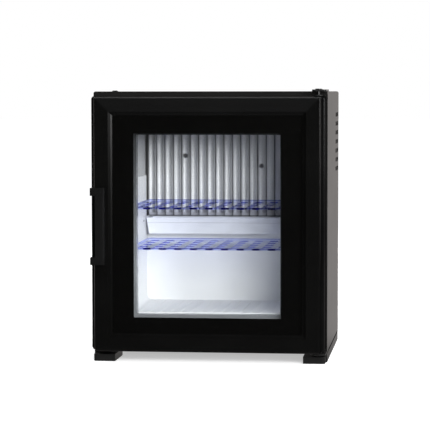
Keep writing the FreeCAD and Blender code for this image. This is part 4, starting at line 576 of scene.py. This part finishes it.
FINISHES = {
    "case_paint": moulded(
        "case_paint", (0.0085, 0.0081, 0.0077), (0.0105, 0.0100, 0.0096), rough=(0.34, 0.355),
        grain=0.9 * MM, depth=0.03 * MM, dust=0.03, wiped=120 * MM),
    "zinc_sheet": drawn_metal(
        "zinc_sheet", (0.42, 0.43, 0.44), (0.66, 0.67, 0.68), rough=(0.32, 0.46),
        stretch=(120.0, 120.0, 700.0), depth=0.01 * MM, spangle=7 * MM),
    "hinge_steel": moulded(
        "hinge_steel", neutral(0.010), neutral(0.014), rough=(0.32, 0.40),
        grain=0.5 * MM, depth=0.02 * MM, dust=0.06),
    "pin_steel": drawn_metal(
        "pin_steel", neutral(0.10), neutral(0.18), rough=(0.30, 0.40),
        stretch=(500.0, 500.0, 3000.0), depth=0.004 * MM),
    "screw_steel": drawn_metal(
        "screw_steel", (0.36, 0.36, 0.37), (0.56, 0.56, 0.57), rough=(0.24, 0.36),
        stretch=(1400.0, 1400.0, 1400.0), depth=0.006 * MM),
    "foot_plastic": satin_black(
        "foot_plastic", neutral(0.007), neutral(0.010), coat_roughness=0.36, shine=foot_painted_shade),
    "foam": moulded(
        "foam", (0.80, 0.74, 0.57), (0.88, 0.83, 0.68), rough=(0.85, 0.95), grain=0.7 * MM, depth=0.4 * MM),
    "liner_white": with_painted_shade(
        moulded("liner_white", (0.885, 0.89, 0.90), (0.905, 0.91, 0.92), rough=(0.30, 0.40),
                grain=4 * MM, depth=0.012 * MM, wiped=90 * MM),
        liner_painted_shade),
    "lamp_lens": moulded(
        "lamp_lens", (0.82, 0.84, 0.86), (0.86, 0.88, 0.90), rough=(0.25, 0.35),
        grain=1.5 * MM, depth=0.03 * MM, Subsurface_Weight=0.3, Subsurface_Radius=(0.004, 0.004, 0.004)),
    "evaporator_aluminium": with_painted_shade(
        drawn_metal("evaporator_aluminium", (0.78, 0.78, 0.80), (0.85, 0.85, 0.87), rough=(0.44, 0.48),
                    stretch=(400.0, 400.0, 2.0), metallic=0.35),
        evaporator_painted_shade),
    "tray_white": with_painted_shade(
        moulded("tray_white", (0.84, 0.855, 0.90), (0.86, 0.875, 0.92), rough=(0.22, 0.32),
                grain=3 * MM, depth=0.03 * MM),
        tray_painted_shade),
    "drain_rubber": moulded(
        "drain_rubber", neutral(0.018), neutral(0.028), rough=(0.6, 0.75), grain=0.5 * MM, depth=0.03 * MM),
    "shelf_blue": make_shelf_finish(),
    "frame_black": satin_black(
        "frame_black", (0.0020, 0.0020, 0.0019), (0.0026, 0.0026, 0.0025),
        coat_roughness=0.26, shine=frame_shine),
    # a lighter copy of frame_black for the top rail: painted light, as the top rail catches more light from
    # above
    "top_rail_lit_black": satin_black(
        "top_rail_lit_black", (0.0036, 0.0036, 0.0036), (0.0044, 0.0044, 0.0043),
        coat_roughness=0.26, shine=frame_shine),
    "handle_black": satin_black(
        "handle_black", neutral(0.0052), neutral(0.0064), coat_roughness=0.21, shine=handle_shine),
    "key_metal": drawn_metal(
        "key_metal", (0.50, 0.50, 0.52), (0.70, 0.70, 0.72), rough=(0.35, 0.5),
        stretch=(300.0, 300.0, 300.0), depth=0.02 * MM),
    "pan_black": satin_black(
        "pan_black", neutral(0.0025), neutral(0.0040), coat_roughness=0.26, shine=pan_painted_sheen),
    "pane_glass": make_pane_finish(),
    "border_print": moulded(
        "border_print", (0.0012, 0.0012, 0.0011), (0.0014, 0.0014, 0.0013), rough=(0.14, 0.15)),
    "spacer_metal": drawn_metal(
        "spacer_metal", neutral(0.06), neutral(0.10), rough=(0.3, 0.4),
        stretch=(400.0, 400.0, 400.0), depth=0.005 * MM),
    "reveal_grey": with_painted_shade(
        moulded("reveal_grey", (0.22, 0.228, 0.24), (0.245, 0.252, 0.265), rough=(0.13, 0.16)),
        reveal_painted_shade),
    "gasket_rubber": moulded(
        "gasket_rubber", neutral(0.002), neutral(0.004), rough=(0.8, 0.9),
        grain=0.8 * MM, depth=0.03 * MM, Specular_IOR_Level=0.0),
    "bush_plastic": moulded(
        "bush_plastic", neutral(0.010), neutral(0.016), rough=(0.35, 0.45), grain=1.0 * MM, depth=0.02 * MM),
    "unit_paint": moulded(
        "unit_paint", neutral(0.008), neutral(0.013), rough=(0.36, 0.5),
        grain=1.4 * MM, depth=0.10 * MM, dust=0.35, wiped=40 * MM),
    "boiler_sheet": drawn_metal(
        "boiler_sheet", (0.40, 0.41, 0.42), (0.62, 0.63, 0.64), rough=(0.30, 0.44),
        stretch=(90.0, 90.0, 600.0), depth=0.01 * MM, spangle=6 * MM),
    "lead_rubber": moulded(
        "lead_rubber", neutral(0.012), neutral(0.02), rough=(0.5, 0.6), grain=0.7 * MM, depth=0.02 * MM),
    "control_plastic": moulded(
        "control_plastic", neutral(0.016), neutral(0.024), rough=(0.45, 0.55),
        grain=0.5 * MM, depth=0.06 * MM, dust=0.3),
}

SLOT_OF = {entry["node"]: entry["material_slot"] for entry in frame["record"]["subparts"]}
# the top rail takes the lighter, painted-light copy of the frame's black
FINISH_OF = {"top_rail": "top_rail_lit_black", "handle": "handle_black"}
for node_name, node in frame["nodes"].items():
    node.data.materials.clear()
    node.data.materials.append(FINISHES[FINISH_OF.get(node_name, SLOT_OF[node_name])])

# The stage: a pale floor, the room round it and the lights

WHITE = (1.0, 1.0, 1.0)
FLOOR_RADIUS = 30.0
FLOOR_SIDES = 96
FLOOR_FRONT_GLOSS = 0.02
FLOOR_BACK_GLOSS = 0.63
FLOOR_GLOSS_TURN = (-0.3, 0.3)            # the place's Y, from the front gloss to the back gloss
FLOOR_SOFT_TONE = 0.35
FLOOR_SEEN_TONE = 0.75
FLOOR_LIFT = 0.45                         # the floor's glow under the fridge, weaker round it as painted shade. It is 1 beyond the fade
FLOOR_SHADED_PATCH = (0.15, 0.10, 0.0)
FLOOR_FADE = 0.13
ROOM_SOFT_LIGHT = 0.18
ROOM_SOFT_COLOUR = (0.82, 0.91, 1.0)
ROOM_GLOSS_COLOUR = (1.0, 0.945, 0.92)
ROOM_FRONT_GLOSS = 0.015
ROOM_SIDE_GLOSS = 0.04
ROOM_BACK_GLOSS = 0.63
ROOM_SIDE_TURN = (-0.15, 0.3)             # the direction's Y, from the front gloss to the side gloss
ROOM_BACK_TURN = (0.60, 0.92)             # the direction's Y, from the side gloss to the back gloss
FRIDGE_MIDDLE = (0.0, -0.1, 0.25)
KEY_PLACE = (1.10, -3.20, 0.95)
KEY_SIZE = (1.3, 1.0)
TOP_PLACE = (0.0, -0.3, 2.4)
TOP_SIZE = (2.0, 2.0)


def is_seen(tree, path):
    """1 for rays from the camera, also behind glass."""
    return math_node(tree, "ADD", path["Is Camera Ray"], path["Is Transmission Ray"], clamp=True)


def make_floor():
    """A wide floor, white in the camera but for a painted shade patch under and round the fridge, where its
    glow is weaker, and darker in the gloss of everything in front of the door.
    """
    mesh = bpy.data.meshes.new("floor")
    work = bmesh.new()
    bmesh.ops.create_circle(work, cap_ends=True, segments=FLOOR_SIDES, radius=FLOOR_RADIUS)
    work.to_mesh(mesh)
    work.free()
    floor = bpy.data.objects.new("floor", mesh)
    bpy.context.scene.collection.objects.link(floor)
    material, tree, shader, place = new_finish("floor_paper")
    tree.nodes.remove(shader)
    path = put(tree, "LightPath").outputs
    seen = is_seen(tree, path)
    tone = mixed_value(tree, path["Is Glossy Ray"], FLOOR_SOFT_TONE, 0.0)
    tone = mixed_value(tree, seen, tone, FLOOR_SEEN_TONE)
    paper = put(tree, "BsdfDiffuse", {"Color": as_grey(tree, tone)})
    beyond = vector_node(tree, "SUBTRACT", vector_node(tree, "ABSOLUTE", place), FLOOR_SHADED_PATCH)
    beyond = vector_node(tree, "MAXIMUM", beyond, (0.0, 0.0, 0.0))
    distance = vector_node(tree, "LENGTH", beyond).outputs["Value"]
    # painted shade: the glow is weaker under and round the fridge
    lift = spread(tree, distance, FLOOR_LIFT, 1.0, 0.0, FLOOR_FADE, smooth=True)
    backwards = separated(tree, place)["Y"]
    mirrored = spread(tree, backwards, FLOOR_FRONT_GLOSS, FLOOR_BACK_GLOSS, *FLOOR_GLOSS_TURN)
    mirrored = product(tree, path["Is Glossy Ray"], mirrored)
    strength = mixed_value(tree, seen, mirrored, lift)
    tint = mixed(tree, seen, colour(*ROOM_GLOSS_COLOUR), colour(*WHITE))
    glow = put(tree, "Emission", {"Color": tint, "Strength": strength})
    both = put(tree, "AddShader", {0: paper.outputs[0], 1: glow.outputs[0]})
    feed(tree, tree.nodes["Material Output"].inputs["Surface"], both)
    mesh.materials.append(material)


def make_room():
    """The world: white behind the fridge, dim in front of it, so that the black door stays black."""
    world = bpy.data.worlds.new("room")
    world.use_nodes = True
    bpy.context.scene.world = world
    tree = world.node_tree
    background = tree.nodes["Background"]
    path = put(tree, "LightPath").outputs
    seen = is_seen(tree, path)
    backwards = separated(tree, put(tree, "TexCoord").outputs["Generated"])["Y"]
    sides = spread(tree, backwards, ROOM_FRONT_GLOSS, ROOM_SIDE_GLOSS, *ROOM_SIDE_TURN, smooth=True)
    back = spread(tree, backwards, 0.0, 1.0, *ROOM_BACK_TURN, smooth=True)
    gloss = mixed_value(tree, back, sides, ROOM_BACK_GLOSS)
    light = mixed_value(tree, path["Is Glossy Ray"], ROOM_SOFT_LIGHT, gloss)
    feed(tree, background.inputs["Strength"], mixed_value(tree, seen, light, 1.0))
    sharp = math_node(tree, "ADD", seen, path["Is Glossy Ray"], clamp=True)
    tint = mixed(tree, path["Is Glossy Ray"], colour(*WHITE), colour(*ROOM_GLOSS_COLOUR))
    feed(tree, background.inputs["Color"], mixed(tree, sharp, colour(*ROOM_SOFT_COLOUR), tint))


def make_softbox(name, place, size, power, lights, only=()):
    """A rectangular lamp at place that looks at the fridge. size is its width and height, power its watts.

    A lamp that lights "colour" shows in no gloss, and one that lights "gloss" shows only in reflections.
    only names the nodes that it lights, where it doesn't light them all.
    """
    lamp = bpy.data.lights.new(name, "AREA")
    lamp.shape = "RECTANGLE"
    lamp.size, lamp.size_y = size
    lamp.energy = power
    softbox = bpy.data.objects.new(name, lamp)
    softbox.location = place
    softbox.rotation_euler = (Vector(FRIDGE_MIDDLE) - Vector(place)).to_track_quat("-Z", "Y").to_euler()
    softbox.visible_glossy = lights == "gloss"
    softbox.visible_diffuse = lights == "colour"
    softbox.visible_camera = False
    softbox.visible_transmission = False
    bpy.context.scene.collection.objects.link(softbox)
    if only:
        lit = bpy.data.collections.new(f"{name}_lit")
        for node_name in only:
            lit.objects.link(frame["nodes"][node_name])
        softbox.light_linking.receiver_collection = lit


make_floor()
make_room()
make_softbox("key_softbox", KEY_PLACE, KEY_SIZE, power=101.0, lights="colour")
make_softbox("key_sheen", KEY_PLACE, KEY_SIZE, power=8.0, lights="gloss")
make_softbox("plate_sheen", KEY_PLACE, KEY_SIZE, power=90.0, lights="gloss",
             only=("evaporator_plate", "upper_shelf", "lower_shelf"))
make_softbox("side_softbox", place=(2.6, -2.6, 0.75), size=(1.0, 0.8), power=90.0, lights="colour")
make_softbox("right_softbox", place=(1.30, -0.84, 0.68), size=(0.5, 0.66), power=5.0, lights="gloss")
make_softbox("top_softbox", TOP_PLACE, TOP_SIZE, power=40.0, lights="colour")
make_softbox("top_sheen", TOP_PLACE, TOP_SIZE, power=12.0, lights="gloss")
make_softbox("edge_sheen", TOP_PLACE, TOP_SIZE, power=165.0, lights="gloss", only=("top_rail",))
make_softbox("rear_softbox", place=(0.0, 2.6, 1.3), size=(1.2, 1.0), power=45.0, lights="colour")
make_softbox("rear_sheen", place=(0.45, 2.4, 1.0), size=(0.8, 0.8), power=3.0, lights="gloss",
             only=("right_rail", "door_pan"))

# The camera stands where the photograph was taken

CAMERA_PLACE = (0.40631, -3.56858, 0.45896)
CAMERA_YAW = math.radians(6.60538)
CAMERA_PITCH = math.radians(3.46663)
CAMERA_ROLL = math.radians(-0.05428)
CAMERA_FOCUS_PIXELS = 2036.116
CAMERA_REACH = 100.0
PHOTO_PIXELS = 430
SENSOR_WIDTH_MM = 36.0
LONGEST_PATH = 40                         # through two panes and the many bars of both shelves


def make_camera():
    """The camera is turned to the left by its yaw and looks down by its pitch."""
    lens = bpy.data.cameras.new("camera")
    lens.sensor_width = SENSOR_WIDTH_MM
    lens.lens = CAMERA_FOCUS_PIXELS / PHOTO_PIXELS * SENSOR_WIDTH_MM
    lens.clip_end = CAMERA_REACH
    level = math.cos(CAMERA_PITCH)
    ahead = Vector((-math.sin(CAMERA_YAW) * level, math.cos(CAMERA_YAW) * level, -math.sin(CAMERA_PITCH)))
    right = Vector((math.cos(CAMERA_YAW), math.sin(CAMERA_YAW), 0.0))
    up = right.cross(ahead)
    turn = Matrix((right, up, -ahead)).transposed() @ Matrix.Rotation(CAMERA_ROLL, 3, "Z")
    camera = bpy.data.objects.new("camera", lens)
    camera.matrix_world = Matrix.Translation(CAMERA_PLACE) @ turn.to_4x4()
    bpy.context.scene.collection.objects.link(camera)
    bpy.context.scene.camera = camera


make_camera()
bpy.context.scene.cycles.max_bounces = LONGEST_PATH
bpy.context.scene.cycles.transmission_bounces = LONGEST_PATH
bpy.context.scene.cycles.transparent_max_bounces = LONGEST_PATH
bpy.context.scene.view_settings.view_transform = "Standard"
